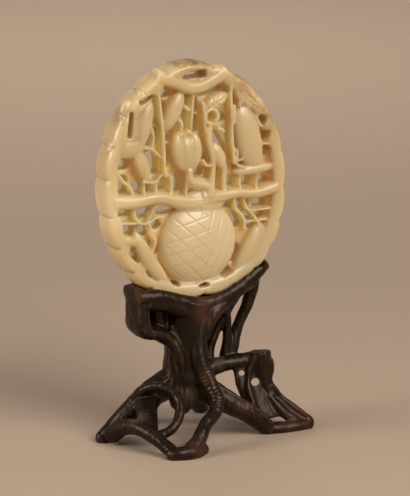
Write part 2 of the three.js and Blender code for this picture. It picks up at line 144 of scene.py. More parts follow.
# Leaves, petals and buds: base, tip, width, sideways bow, half thickness, how pointed, side veins.
LEAVES = [
    # left of the handle
    ((-15.0, 25.2), (-18.8, 10.4), 5.4, 0.5, 2.5, 1.1, 0),
    ((-22.0, 25.8), (-22.6, 9.6), 7.4, 0.0, 2.35, 0.7, 0),
    ((-29.6, 11.2), (-17.0, 10.8), 7.0, 0.0, 2.5, 0.9, 0),
    ((-20.4, 10.8), (-16.2, 0.2), 5.2, 0.2, 2.6, 1.1, 0),
    ((-19.8, 25.2), (-13.4, 29.8), 3.8, -0.6, 2.5, 1.1, 0),
    # inside the handle
    ((-4.4, 27.2), (-10.4, 15.0), 5.4, 0.0, 2.6, 1.1, 0),
    ((3.0, 21.0), (11.0, 25.0), 4.8, 0.3, 2.5, 1.2, 2),
    ((5.8, 10.0), (9.8, 1.6), 4.8, 0.0, 2.6, 1.0, 0),
    ((-3.0, 1.4), (-6.2, 14.3), 5.0, -1.2, 2.5, 1.1, 0),
    ((-1.8, 1.4), (-0.2, 13.8), 5.0, 0.9, 2.5, 1.1, 0),
    ((-2.4, 1.0), (-2.9, 12.9), 6.4, 0.0, 2.75, 0.9, 0),
    ((-3.6, -1.2), (6.2, -3.8), 4.6, 0.0, 2.5, 0.9, 0),
    # right of the handle
    ((15.9, 20.8), (20.9, -0.4), 8.8, 0.0, 2.9, 0.85, 0),
    ((13.0, 28.4), (21.8, 19.2), 4.4, 0.8, 2.4, 1.0, 2),
    ((13.2, 0.0), (27.4, 0.9), 3.6, 0.0, 2.5, 0.8, 0),
    # beside the basket
    ((-6.4, -8.4), (10.4, -8.2), 8.0, 0.0, 2.75, 0.8, 0),
    ((-20.6, -15.4), (-9.6, -32.4), 5.2, 1.2, 2.5, 0.9, 0),
    ((-27.0, -16.6), (-19.4, -19.2), 3.6, 0.0, 2.4, 1.0, 0),
    ((23.0, -16.6), (14.4, -32.0), 6.4, -0.8, 2.5, 0.9, 0),
]
# Depth at which the middle of every leaf lies.
LEAF_LEVEL = -2.2
LEAF_CUT = {"rib_half": 0.45, "rib_depth": 0.3, "vein_half": 0.4, "vein_depth": 0.24}
# Fine lines down the hanging petal at the left: their course, and how far each is shifted across.
STRIAE = {"route": [(-19.0, 8.6), (-17.2, 5.4), (-16.4, 1.8)], "shifts": [-1.5, -0.6, 0.3, 1.1]}
STRIA_CUT = {"half": 0.3, "depth": 0.2}
# Flutes down the body of the flower: x at the foot, x at the top.
FLUTES = [(-3.4, -4.4), (-2.7, -3.2), (-2.1, -2.0), (-1.5, -0.8)]
FLUTE_CUT = {"foot": 3.2, "top": 11.6, "half": 0.32, "depth": 0.2}
# Lines are incised only on faces in front of this depth.
INCISED_FRONT = -3.1

# Stems, ribbons and handle bars: stations of (x, z, half width), then front and back of the band.
BANDS = {
    "left_bar": ([
        (-13.4, 31.0, 0.7), (-12.6, 24.4, 0.6), (-11.8, 18.0, 0.6), (-11.2, 10.6, 0.6),
        (-10.9, 3.6, 0.6), (-10.6, 1.0, 0.7),
    ], -4.7, 0.6),
    "right_bar": ([
        (11.6, 30.4, 0.7), (11.8, 24.4, 0.6), (12.1, 17.6, 0.6), (12.3, 10.8, 0.6),
        (12.7, 6.6, 0.6), (13.0, 3.0, 0.7),
    ], -4.7, 0.6),
    "swag": ([
        (-13.4, 32.6, 2.4), (-7.0, 30.0, 2.2), (-1.0, 27.9, 2.3), (5.6, 29.6, 2.2), (10.4, 32.2, 2.4),
    ], -5.0, 0.4),
    "left_ribbon": ([
        (-28.0, -5.4, 2.5), (-20.0, -5.9, 2.3), (-12.6, -5.4, 2.2), (-5.0, -7.4, 2.4), (3.0, -8.2, 2.6),
    ], -4.9, 0.4),
    "right_ribbon": ([
        (2.0, -7.0, 2.6), (8.0, -6.8, 2.2), (14.6, -6.4, 1.8), (20.4, -7.0, 1.9), (28.0, -5.8, 2.1),
    ], -4.9, 0.4),
    "right_stem": ([
        (5.0, 16.8, 0.9), (4.2, 12.0, 1.3), (5.3, 7.0, 1.1), (5.8, 2.8, 1.0), (5.2, -2.0, 1.3),
        (4.4, -6.4, 2.0),
    ], -4.8, 0.4),
    "left_stem": ([
        (-2.4, 2.6, 1.5), (-1.7, -0.8, 1.5), (1.2, -2.3, 1.6), (4.4, -4.0, 1.9), (4.0, -6.6, 2.1),
    ], -4.7, 0.4),
}
# How far a band is first made proud of its front, and the share of that crown which it keeps.
CROWN = {"over": 1.1, "keep": 0.25}
# Thin tendrils and nibs that only the looks carry, each with the level of its front.
TENDRIL_BACK = 0.8
TENDRILS = {
    "top_stems": [
        ([(-0.9, 26.6, 0.5), (-1.3, 20.6, 0.42), (-1.7, 14.8, 0.42)], -4.2),
        ([(2.4, 23.4, 0.5), (2.6, 18.4, 0.45), (3.2, 13.4, 0.5)], -4.3),
        ([(13.0, 21.4, 0.5), (13.1, 18.4, 0.45), (13.2, 15.4, 0.4)], -4.6),
    ],
    "left_tendrils": [
        ([(-17.6, 10.8, 0.6), (-14.4, 9.8, 0.45), (-12.0, 7.2, 0.4)], -4.0),
        ([(-15.2, 17.6, 0.5), (-14.2, 14.0, 0.45), (-14.6, 10.4, 0.45)], -3.6),
        ([(-21.0, -8.0, 0.45), (-20.4, -10.8, 0.45), (-18.8, -12.6, 0.5), (-16.2, -12.8, 0.45),
          (-13.2, -11.4, 0.45), (-10.8, -11.4, 0.5)], -3.9),
        ([(-16.6, -12.8, 0.45), (-15.0, -10.0, 0.4), (-13.2, -7.0, 0.5)], -3.7),
        ([(-15.8, -13.2, 0.45), (-15.2, -16.2, 0.45), (-13.8, -18.2, 0.45), (-14.8, -22.0, 0.5)], -3.9),
        ([(-26.0, -12.0, 0.5), (-21.0, -12.6, 0.45), (-19.0, -12.8, 0.5)], -3.7),
        ([(-26.4, 3.0, 0.6), (-24.2, 0.6, 0.55), (-22.0, -1.2, 0.45), (-21.2, -3.6, 0.5)], -3.7),
    ],
    "right_tendrils": [
        ([(13.0, -8.0, 0.5), (14.2, -11.4, 0.45), (16.4, -14.0, 0.45), (17.0, -18.4, 0.5)], -4.0),
        ([(15.9, -7.6, 0.5), (18.2, -12.0, 0.45), (20.6, -14.6, 0.4), (22.0, -17.6, 0.5)], -3.9),
        ([(18.4, -12.2, 0.45), (21.6, -12.5, 0.4), (25.6, -12.3, 0.5)], -3.7),
        ([(17.4, -15.9, 0.45), (20.6, -15.8, 0.4), (24.6, -15.7, 0.5)], -3.6),
        ([(13.0, 8.2, 0.45), (14.4, 5.6, 0.4), (14.0, 3.0, 0.45), (16.6, 1.4, 0.5)], -4.2),
        ([(12.6, 5.6, 0.45), (15.0, 3.8, 0.4), (16.4, 4.6, 0.4)], -4.1),
    ],
    "cell_walls": [
        ([(-18.4, 0.4, 0.5), (-13.8, -0.1, 0.45), (-12.2, 1.5, 0.4), (-10.0, 2.1, 0.4),
          (-8.4, 0.8, 0.45)], -4.1),
        ([(-17.8, 0.2, 0.45), (-17.6, -2.2, 0.4), (-17.7, -4.6, 0.5)], -3.9),
        ([(-13.7, 0.0, 0.45), (-13.5, -2.2, 0.4), (-13.6, -4.6, 0.5)], -4.0),
        ([(-8.3, 1.0, 0.45), (-8.2, -2.0, 0.4), (-8.3, -5.2, 0.5)], -4.0),
        ([(-3.4, 0.4, 0.6), (-3.2, -2.4, 0.45), (-3.4, -5.6, 0.5)], -3.9),
        ([(10.1, 3.0, 0.45), (10.0, -1.4, 0.4), (10.1, -5.4, 0.5)], -4.1),
        ([(15.3, -0.6, 0.5), (15.1, -2.8, 0.4), (15.3, -5.2, 0.5)], -4.0),
        ([(21.4, -0.6, 0.5), (21.0, -3.2, 0.4), (20.8, -5.8, 0.5)], -4.0),
        ([(20.6, 17.6, 0.6), (23.4, 13.2, 0.5), (26.0, 12.6, 0.6)], -3.9),
        ([(21.6, 8.6, 0.6), (24.0, 8.2, 0.5), (26.8, 8.0, 0.6)], -3.9),
        ([(14.6, 27.6, 0.6), (15.4, 24.0, 0.5), (15.0, 20.6, 0.6)], -4.0),
        ([(15.2, 23.6, 0.5), (18.4, 22.6, 0.6), (21.0, 19.6, 0.6)], -4.0),
    ],
    "nibs": [
        ([(-3.8, 22.6, 0.5), (-2.9, 21.6, 0.6), (-2.2, 20.8, 0.4)], -4.4),
        ([(-5.6, 18.6, 0.5), (-5.0, 17.0, 0.6), (-5.3, 14.6, 0.5)], -4.5),
        ([(7.0, 14.8, 0.5), (8.4, 14.4, 0.6), (9.8, 13.2, 0.4)], -4.5),
        ([(2.4, 5.2, 0.5), (3.2, 3.6, 0.6), (5.4, 3.2, 0.5)], -4.4),
        ([(-8.8, 1.6, 0.45), (-8.6, -1.6, 0.45), (-8.6, -4.6, 0.5)], -4.0),
        ([(9.4, 2.4, 0.5), (9.2, -1.0, 0.45), (9.4, -5.0, 0.5)], -4.0),
    ],
}
BUD_CUP = {"x": 5.1, "z": 18.6, "radius": 2.2, "half": 0.8, "front": -4.7, "back": 0.2}
BUD_CUP_TURN = {"from": -60, "over": 320, "steps": 8}
BASKET = {"x": 1.3, "y": -1.6, "z": -21.0, "half_width": 13.2, "half_height": 13.2, "half_depth": 5.0}
# Plaited lines of the basket: slope in degrees, spacing, and the x where the set fades in and out.
WEAVE = [(14, 3.9, -14.0, 5.0), (-44, 3.9, -14.0, 5.0), (66, 3.3, -1.0, 16.0)]
WEAVE_CUT = {"half": 0.26, "depth": 0.2, "fade": 3.0, "within": 0.92, "front": -3.6}
# The walls of the pockets take an amber colour, partly dirt and partly a painted glow of light
# shining through the stone: shares of the way out where the rim begins, and the depths at the front
# and at the back between which a place counts as buried.
RECESS_DIRT_AND_GLOW = {"rim": (0.87, 0.93), "front": (-3.6, -1.2), "back": (2.6, 4.1)}
# Paler patches, round the basket and as painted light on the left of the plaque, and browner parts
# of the stone: x, z, where the patch starts to fade and where it ends.
PALE_AND_PAINTED_LIGHT = [(1.3, -21.0, 11.0, 16.0), (-27.0, -8.0, 3.0, 12.0)]
SKIN = [(-1.0, 36.0, 2.0, 9.0), (17.0, 31.0, 2.0, 8.0), (26.5, 17.0, 2.0, 9.0), (-27.0, 22.0, 1.0, 6.0)]
SKIN_SHARE = (0.8, 0.96)
# Small brown spots on the rim: x, z and radius.
STAIN_SHARE = 0.93
STAINS = [(-33.5, 1.7, 1.0), (-6.0, 36.4, 1.8), (-0.6, 36.6, 2.4), (4.0, 35.4, 1.4), (-24.4, 27.6, 1.2)]

# The stand's wood, as stations of (x, y, z, radius).
SADDLE = [
    (-20.2, 0, 46.2, 2.8), (-16, 0, 46.4, 3), (-11, 0, 45.4, 3), (-6, 0, 43.8, 3), (-1, 0, 42.5, 3),
    (4, 0, 42.3, 3), (9, 0, 43.5, 3), (14, 0, 45.8, 2.9), (19, 0, 48.8, 2.8), (23, 0, 51, 2.5),
    (25.4, 0, 51.4, 1.8),
]
LEFT_BRACKET = [
    (-18.2, 0, 46.4, 2.4), (-18.6, 0, 40.6, 2.3), (-18, 0, 35.8, 2.4), (-12.4, 0, 33.6, 2.3),
    (-4, 0, 28.4, 2.2),
]
RIGHT_ARM = [(0.4, 0, 25, 2.8), (1.4, 0, 33, 4), (5, 0, 39, 4.2), (12, 0, 43.4, 3.4), (20, 0, 47.6, 3)]
# How much deeper from front to back than from edge to edge these three are.
DEEP = {"saddle": 2.35, "bracket": 2.4, "arm": 1.9}
SLAB_SQUARENESS = 0.6
BROAD_SIDES = 6
# The web under the right root is a limb spread out sideways.
RIGHT_WEB = [(18.6, -2, 22, 1.5), (19, -4, 16, 1.6), (20.4, -6.6, 9.6, 1.6), (22, -9.4, 4, 1.5)]
WEB_BREADTH = 3.4
# Knot-holes through the web, slanted nearly as the camera looks: x, z and radius.
KNOT_HOLES = [(20.0, 15.0, 1.3), (15.2, 18.4, 0.9)]
KNOT_BORE = {"y": -5, "length": 16, "slant": (math.radians(80), 0, math.radians(-27))}
LIMBS = {
    "trunk": [
        (0, 0, 43, 8.2), (-0.8, 0, 36, 7.4), (-2, 0, 28, 6.4), (-2, 0, 21, 7), (-2, -1, 14, 6.4),
        (-2, -1.2, 11.6, 3),
    ],
    "left_shoulder": [(-7, 2, 46, 3.6), (-10, 2.6, 41, 3.4), (-9.4, 2, 35, 3), (-5, 0, 29, 3)],
    "right_outer_branch": [
        (22.4, 1, 49, 2.6), (21.6, 1.4, 42, 2), (17.2, 1.4, 32, 1.8), (13, 0.5, 21, 2.4),
    ],
    "right_inner_branch": [(9, -1, 42, 2.6), (12.4, 0, 36, 1.5), (12.8, 0.4, 30, 1.4), (12, 0.4, 22, 2)],
    "right_root": [
        (1, 0, 18, 4), (9, -1, 20.8, 2.6), (17, -2, 21.6, 2.5), (23.8, -3, 20.8, 3), (23.4, -4.2, 14.6, 3),
        (26.2, -5.8, 9.6, 2.7), (31.6, -8.4, 5, 2.4), (36.3, -11, 1.6, 1.8), (37.1, -11.3, 1.2, 0.9),
    ],
    "right_middle_branch": [
        (6.4, 2, 20, 2.4), (7.6, 2, 27, 2), (9.4, 2, 32, 2.2), (12.6, 1, 38, 2.2), (15, 0, 43, 2.4),
    ],
    "stump": [(22.6, -3, 24.4, 3.6), (22.8, -3.4, 19.5, 3.5), (23.2, -4, 14, 3)],
    "right_front_root": [
        (-4.4, 0, 18, 2.6), (1, -3, 15.4, 4.4), (9, -8.6, 10.6, 3.6), (15, -10.2, 6.8, 3.2),
        (22, -11.2, 0.8, 2.6),
    ],
    "right_ground_root": [
        (20, -11.2, 1.6, 2.2), (28, -12.2, 1.2, 2), (36.2, -11.4, 1.2, 1.8), (37, -11.3, 1, 0.9),
    ],
    "front_root": [
        (1.5, -3, 41, 3), (0, -5, 32, 3), (-0.2, -7, 24, 3), (1.6, -10.2, 17.4, 2.6),
        (2.2, -13.4, 13.8, 2.4), (-0.2, -17, 10.6, 2.2), (-5.6, -20.6, 7.8, 2.2), (-9.6, -23.6, 4, 2.4),
        (-13.4, -25.4, 1.4, 2.6),
    ],
    "front_foot": [
        (-7, -23.2, 1.4, 2), (-13.4, -26, 1.2, 2.6), (-19.8, -25, 1.2, 2.2), (-20.8, -24.8, 1, 1.1),
    ],
    "left_root": [
        (-3, 0, 18, 5), (-10.5, 0.4, 16, 4.2), (-17, 1.2, 11.8, 3.6), (-22.6, 2.2, 6.4, 3.4),
        (-28, 3, 1.4, 2.8), (-30.2, 3, 0.5, 2), (-31, 3.1, 0.2, 1),
    ],
    "left_front_strand": [
        (-27.5, 0, 2.5, 2.8), (-25.8, -5.6, 6.2, 2.6), (-23.4, -12, 7, 2.4), (-21, -18, 5, 2.2),
        (-18.4, -23.6, 2, 2.2),
    ],
    "left_apron": [(-16, 0, 12, 3.4), (-19, -6, 10.4, 2.8), (-20.8, -12, 7.6, 2.4), (-21, -17, 5, 1.8)],
    "left_inner_apron": [
        (-13, 0, 13, 3), (-16.2, -4.5, 11, 2.4), (-18, -9, 8.6, 2), (-19.5, -13, 6.6, 1.8),
    ],
    "loop": [
        (-19, 1, 12.5, 2), (-17, -3.4, 16.8, 1.7), (-13.4, -8, 18, 1.5), (-11, -12.4, 15.4, 1.5),
        (-11.8, -16, 11.4, 1.5), (-15.6, -18.4, 7.6, 1.6), (-20.6, -17.6, 5.4, 1.6),
    ],
    "burl": [(-2, 0, 20, 4.6), (-4, -2.6, 14, 5), (-5.2, -4.4, 9.8, 3.4), (-5.6, -5, 8, 1.4)],
    "back_root": [
        (0, 1, 19, 4.4), (5, 9.6, 14, 4), (10, 16.6, 8, 3.4), (14.4, 21.8, 2, 3), (16, 24.6, 0.4, 2.4),
    ],
    "back_left_root": [
        (-3, 1, 17, 4.2), (-6, 9, 11.6, 3.4), (-8.4, 16, 5.6, 2.8), (-9.4, 21, 1.2, 2.6),
        (-9.8, 23.4, 0.4, 2.2),
    ],
}
# Raised strands and swellings that the carver left on the wood, in the same stations.
STRANDS = {
    "trunk_left": [(-7.7, -2.6, 36, 0.9), (-8, -2.3, 28, 0.9), (-8.6, -2.8, 20, 1), (-13, -3.3, 17, 1)],
    "left_root": [
        (-13, -3.2, 17, 0.9), (-19, -2.4, 12.6, 0.9), (-24, -1.4, 8.2, 0.9), (-28.4, 0.4, 3.6, 0.8),
    ],
    "right_front": [(3, -6.6, 17.6, 1), (9.6, -10.6, 13.1, 0.9), (15.6, -12, 9.1, 0.9), (22, -12.8, 3, 1)],
    "web": [(20, -4.6, 23.5, 1), (17.4, -5.2, 17.5, 0.9), (17.2, -7.5, 11, 0.9), (19.4, -10.2, 5.4, 1)],
    "right_foot": [(25, -6.8, 14, 0.9), (28.2, -8.2, 9.6, 0.9), (33.4, -11, 5, 0.9), (36.6, -12.2, 2, 0.8)],
    "web_edge": [
        (23.6, -6.8, 11, 1.3), (26.6, -9.2, 6.4, 1.6), (30, -10.6, 3.6, 1.5), (33.6, -11.2, 2.4, 1.2),
    ],
    "bracket_outer": [(-19.6, -5, 45.6, 0.4), (-19.9, -5.1, 40, 0.7), (-19, -4.6, 35.4, 0.4)],
    "bracket_inner": [(-17, -5.1, 45.6, 0.4), (-17.4, -5.2, 40, 0.7), (-15.6, -4.6, 34.6, 0.4)],
    "left_rail": [
        (-17.6, -4.4, 44.4, 2.4), (-12, -4.2, 43.6, 2.7), (-6, -4.2, 41.6, 3), (-1, -4, 38, 3),
        (1, -3.4, 34, 2.4),
    ],
    "bracket_heel": [
        (-12.6, -2.6, 33.4, 1.7), (-8, -3.8, 30, 2), (-5.8, -4.8, 25, 1.7), (-5.4, -5.2, 18, 1),
    ],
    "middle_arch": [(6, 0.6, 22, 0.8), (7.6, 0.4, 28, 0.8), (9.8, 0.2, 33, 0.8), (13.4, -0.6, 39, 0.9)],
}
# The seat of the plaque in the saddle. Its floor, above the given height, keeps free of tool work.
GROOVE = {"gap": 0.3, "half_depth": 5.35, "height": 43, "margin": 0.1}
# Exposed places rubbed to a redder wood, and sheltered ones where dust has settled: x, y, z, reach.
RUBBED = [
    (31, -12.6, 2.4, 8), (-11, -25.6, 3.4, 6), (13, -11, 10.4, 6), (19.5, -4, 24, 3.6), (3, -7, 41, 8),
    (24.6, -4, 52, 4), (-20, -5, 47, 4), (1, -10, 20, 4),
]
DUST = [
    (-11, 2, 35, 4.5), (8.3, 1.5, 32, 4.5), (10, -1.5, 22.6, 5), (-3, -5, 13, 5.5), (29.7, -7, 8.8, 5),
    (-23, -10, 8.6, 4), (-16.7, -25, 3, 3),
]
# How strongly those places show, and the bulge of the surface from which an edge or hollow shows too.
PLACED_WEAR = 0.75
EDGE_BULGE = (0.006, 0.035)
HOLLOW_BULGE = (0.005, 0.035)
# Ring wrinkles across the front root between two heights.
WRINKLES = {"pitch": 1.15, "depth": 0.16, "from": 27.0, "to": 9.0, "reach": 4.4, "wander": 0.6}

# The stage. The floor lamp aims at a spot behind the object: elevation in degrees, and distance.
STAGE_MIDDLE = Vector((0, 0, 60 * MM))
FLOOR_BREADTH = 16
PICTURE_HEIGHT = 496
SENSOR_HEIGHT = 36
CAMERA_AIM = Vector((AXIS_X + 5 * MM, AXIS_Y, 58.4 * MM))
FLOOR_LAMP_AIM = (-4.5, 1.39)
ROOM_COLOUR = (1, 0.93, 0.86, 1)
ROOM_STRENGTH = 0.22


class PlaqueSettings(bpy.types.PropertyGroup):
    half_width: bpy.props.FloatProperty(
        name="Half width", description="Half the width of the oval", default=0.031, unit="LENGTH")
    half_height: bpy.props.FloatProperty(
        name="Half height", description="Half the height of the oval", default=0.0372, unit="LENGTH")
    lobes: bpy.props.IntProperty(
        name="Lobes", description="Lobes round the rim beside the top one", default=20, min=8, max=40)
    grain: bpy.props.FloatProperty(
        name="Carving grain", description="Finest step of the carving", default=0.0003,
        unit="LENGTH", precision=5)
    triangles: bpy.props.IntProperty(
        name="Triangles", description="Most triangles in the finished plaque", default=190000)
    face: bpy.props.FloatVectorProperty(
        name="Face", description="Polished face of the stone", default=(0.54, 0.415, 0.23), subtype="COLOR")
    # Paler round the basket, and painted light making the left of the plaque paler.
    paler_and_painted_light: bpy.props.FloatVectorProperty(
        name="Pale", description="Paler stone of the basket", default=(0.62, 0.505, 0.3), subtype="COLOR")
    warm: bpy.props.FloatVectorProperty(
        name="Warm clouds", description="Warmer clouds in the stone", default=(0.5, 0.36, 0.17),
        subtype="COLOR")
    # Amber of the pocket walls: partly dirt, partly a painted glow of light through the stone.
    recess_dirt_and_glow: bpy.props.FloatVectorProperty(
        name="Recess", description="Walls of the sawn cells", default=(0.72, 0.53, 0.235), subtype="COLOR")
    skin: bpy.props.FloatVectorProperty(
        name="Skin", description="Brownish skin of the stone on the rim", default=(0.33, 0.21, 0.09),
        subtype="COLOR")
    stain: bpy.props.FloatVectorProperty(
        name="Stain", description="Brown spots on the rim", default=(0.12, 0.055, 0.02), subtype="COLOR")


class StandSettings(bpy.types.PropertyGroup):
    grain: bpy.props.FloatProperty(
        name="Carving grain", description="Finest step of the carving", default=0.00032,
        unit="LENGTH", precision=5)
    triangles: bpy.props.IntProperty(
        name="Triangles", description="Most triangles in the finished stand", default=180000)
    gnarl: bpy.props.FloatProperty(
        name="Gnarl", description="Height of the uneven tool work", default=0.00026,
        unit="LENGTH", precision=5)
    dark: bpy.props.FloatVectorProperty(
        name="Dark wood", description="Stained body of the wood", default=(0.0065, 0.0042, 0.0023),
        subtype="COLOR")
    worn: bpy.props.FloatVectorProperty(
        name="Worn wood", description="Reddish wood on rubbed edges", default=(0.07, 0.025, 0.012),
        subtype="COLOR")
    dusty: bpy.props.FloatVectorProperty(
        name="Dusty hollows", description="Dull tan in the hollows", default=(0.09, 0.066, 0.028),
        subtype="COLOR")


class StageSettings(bpy.types.PropertyGroup):
    floor: bpy.props.FloatVectorProperty(
        name="Floor", description="Plain pale floor", default=(0.395, 0.3, 0.228), subtype="COLOR")
    azimuth: bpy.props.FloatProperty(
        name="Azimuth", description="Turn of the camera round the object", default=math.radians(-27),
        subtype="ANGLE")
    elevation: bpy.props.FloatProperty(
        name="Elevation", description="Height of the camera as an angle", default=math.radians(13),
        subtype="ANGLE")
    distance: bpy.props.FloatProperty(
        name="Distance", description="Distance of the camera", default=1.5, unit="LENGTH")
    scale: bpy.props.FloatProperty(
        name="Picture scale", description="Pixels to a millimetre at the object", default=3.24)


def free_selection():
    if bpy.context.mode != "OBJECT":
        bpy.ops.object.mode_set(mode="OBJECT")
    bpy.ops.object.select_all(action="DESELECT")


def pick(piece):
    free_selection()
    piece.select_set(True)
    bpy.context.view_layer.objects.active = piece


def join(pieces, name):
    """Joins several shells into one mesh without merging them."""
    pick(pieces[0])
    for piece in pieces:
        piece.select_set(True)
    bpy.ops.object.join()
    whole = bpy.context.object
    whole.name = name
    whole.data.name = name
    return whole


def apply_modifier(piece, kind, **settings):
    pick(piece)
    modifier = piece.modifiers.new(kind.title(), kind)
    for key, value in settings.items():
        setattr(modifier, key, value)
    bpy.ops.object.modifier_apply(modifier=modifier.name)


def cut(piece, cutter):
    apply_modifier(piece, "BOOLEAN", operation="DIFFERENCE", solver="MANIFOLD", object=cutter)
    bpy.data.objects.remove(cutter)


def places(piece):
    points = np.empty(len(piece.data.vertices) * 3, np.float32)
    piece.data.vertices.foreach_get("co", points)
    return points.reshape(-1, 3).astype(float)


def put(piece, points):
    piece.data.vertices.foreach_set("co", points.astype(np.float32).ravel())
    piece.data.update()


def facing(piece):
    normals = np.empty(len(piece.data.vertices) * 3, np.float32)
    piece.data.vertex_normals.foreach_get("vector", normals)
    return normals.reshape(-1, 3).astype(float)


def smooth_step(value, start, end):
    share = np.clip((value - start) / (end - start), 0, 1)
    return share * share * (3 - 2 * share)


def triangles_of(piece):
    return sum(len(face.vertices) - 2 for face in piece.data.polygons)


def thin(piece, most):
    """Thins the mesh where it is flat until it keeps within its triangle budget."""
    count = triangles_of(piece)
    if count > most:
        apply_modifier(
            piece, "DECIMATE", decimate_type="COLLAPSE", ratio=most / count, use_collapse_triangulate=True)


def close_shell(piece):
    """Merges the seams of a shell, closes its ends and points its faces outwards."""
    pick(piece)
    bpy.ops.object.mode_set(mode="EDIT")
    bpy.ops.mesh.select_all(action="SELECT")
    bpy.ops.mesh.remove_doubles(threshold=0.0005)
    bpy.ops.mesh.fill_holes(sides=0)
    bpy.ops.mesh.select_all(action="SELECT")
    bpy.ops.mesh.normals_make_consistent(inside=False)
    bpy.ops.object.mode_set(mode="OBJECT")


def settle(piece, height):
    """Scales a piece modelled in millimetres to metres and puts it at its place in the frame."""
    pick(piece)
    piece.location = (AXIS_X, AXIS_Y, height)
    piece.scale = (MM, MM, MM)
    bpy.ops.object.transform_apply(location=True, rotation=True, scale=True)


def mark(piece, name, values):
    attribute = piece.data.attributes.new(name, "FLOAT", "POINT")
    attribute.data.foreach_set("value", np.asarray(values, np.float32))


def bends(piece):
    """How much the surface bulges at each vertex: above zero on edges and below zero in hollows."""
    points = places(piece)
    normals = facing(piece)
    edges = np.empty(len(piece.data.edges) * 2, np.int32)
    piece.data.edges.foreach_get("vertices", edges)
    first, second = edges.reshape(-1, 2).T
    count = np.zeros(len(points))
    np.add.at(count, first, 1)
    np.add.at(count, second, 1)
    count = np.maximum(count, 1)
    around = np.zeros_like(points)
    np.add.at(around, first, points[second])
    np.add.at(around, second, points[first])
    lift = np.einsum("ij,ij->i", points - around / count[:, None], normals)
    for _ in range(3):
        total = np.zeros(len(points))
        np.add.at(total, first, lift[second])
        np.add.at(total, second, lift[first])
        lift = (lift + total / count) / 2
    return lift


def limb(stations, deep=1.0, sides=4):
    """A tapering round limb along a smooth path, stretched along Y about its first station."""
    free_selection()
    bpy.ops.curve.primitive_bezier_curve_add()
    path = bpy.context.object
    curve = path.data
    curve.dimensions = "3D"
    curve.bevel_depth = 1
    curve.bevel_resolution = sides
    curve.use_fill_caps = True
    curve.resolution_u = 8
    spline = curve.splines[0]
    spline.radius_interpolation = "CARDINAL"
    spline.bezier_points.add(len(stations) - 2)
    for point, (x, y, z, radius) in zip(spline.bezier_points, stations):
        point.co = (x, y, z)
        point.radius = radius
        point.handle_left_type = "AUTO"
        point.handle_right_type = "AUTO"
    bpy.ops.object.convert(target="MESH")
    made = bpy.context.object
    if deep != 1:
        bpy.ops.object.mode_set(mode="EDIT")
        bpy.ops.mesh.select_all(action="SELECT")
        bpy.ops.transform.resize(value=(1, deep, 1), center_override=(0, stations[0][1], 0))
        bpy.ops.object.mode_set(mode="OBJECT")
    close_shell(made)
    return made


def band(stations, front, back):
    """A stem or ribbon that lies in the plane of the plaque, as deep as from front to back."""
    level = (front + back) / 2
    broad = sum(half for x, z, half in stations) / len(stations)
    deep = ((back - front) / 2 + CROWN["over"]) / broad
    made = limb([(x, level, z, half) for x, z, half in stations], deep)
    points = places(made)
    proud = np.minimum(points[:, 1] - front, 0)
    points[:, 1] -= proud * (1 - CROWN["keep"])
    put(made, points)
    return made


def leaf_frame(base, tip):
    axis = np.array(tip) - np.array(base)
    across = np.array([axis[1], -axis[0]]) / np.hypot(*axis)
    return (np.array(base) + np.array(tip)) / 2, axis, across


def leaf(base, tip, width, bow, half, pointed):
    """A plump leaf from base to tip with a flattened top, pointed as an almond or round as a bud."""
    free_selection()
    bpy.ops.mesh.primitive_uv_sphere_add(segments=32, ring_count=24, radius=1)
    made = bpy.context.object
    points = places(made)
    middle, axis, across = leaf_frame(base, tip)
    along = points[:, 2]
    taper = np.sqrt(np.clip(1 - along**2, 0, 1))
    round_side = points[:, 0] / np.maximum(taper, 1e-6)
    side = round_side * taper**pointed * width / 2 + bow * taper**2
    forward = np.sign(points[:, 1]) * np.abs(points[:, 1]) ** 0.65 * half
    flat = middle + along[:, None] * axis / 2 + side[:, None] * across
    put(made, np.stack([flat[:, 0], LEAF_LEVEL + forward, flat[:, 1]], axis=1))
    close_shell(made)
    return made


def bud_cup():
    """A small ring that curls round the cup of a bud."""
    stations = []
    for index in range(BUD_CUP_TURN["steps"] + 1):
        turn = math.radians(index / BUD_CUP_TURN["steps"] * BUD_CUP_TURN["over"] + BUD_CUP_TURN["from"])
        stations.append((
            BUD_CUP["x"] + BUD_CUP["radius"] * math.cos(turn),
            BUD_CUP["z"] + BUD_CUP["radius"] * math.sin(turn),
            BUD_CUP["half"],
        ))
    return band(stations, BUD_CUP["front"], BUD_CUP["back"])


def oval_point(size, angle, share, grow=0.0):
    """A point of the oval, a little fuller than an ellipse, at an angle round from the top."""
    wide = size.half_width / MM + grow
    high = size.half_height / MM + grow
    power = 2 / np.where(np.cos(angle) < 0, LOWER_FULLNESS, UPPER_FULLNESS)
    across = wide * share * np.sign(np.sin(angle)) * np.abs(np.sin(angle)) ** power
    up = high * share * np.sign(np.cos(angle)) * np.abs(np.cos(angle)) ** power
    x = across * math.cos(LEAN) - up * math.sin(LEAN)
    z = across * math.sin(LEAN) + up * math.cos(LEAN)
    return x, z - OVAL_DROP


def oval_place(size, points):
    """For points of the plaque, their angle round from the top and their share of the way out."""
    x = points[:, 0]
    z = points[:, 2] + OVAL_DROP
    across = (x * math.cos(LEAN) + z * math.sin(LEAN)) / (size.half_width / MM)
    up = (z * math.cos(LEAN) - x * math.sin(LEAN)) / (size.half_height / MM)
    full = np.where(up < 0, LOWER_FULLNESS, UPPER_FULLNESS)
    wide = np.abs(across) ** (full / 2)
    high = np.abs(up) ** (full / 2)
    return np.arctan2(np.sign(across) * wide, np.sign(up) * high), (wide**2 + high**2) ** (1 / full)


def lobe_pitch(size):
    return (2 * math.pi - 2 * TOP_LOBE) / size.lobes


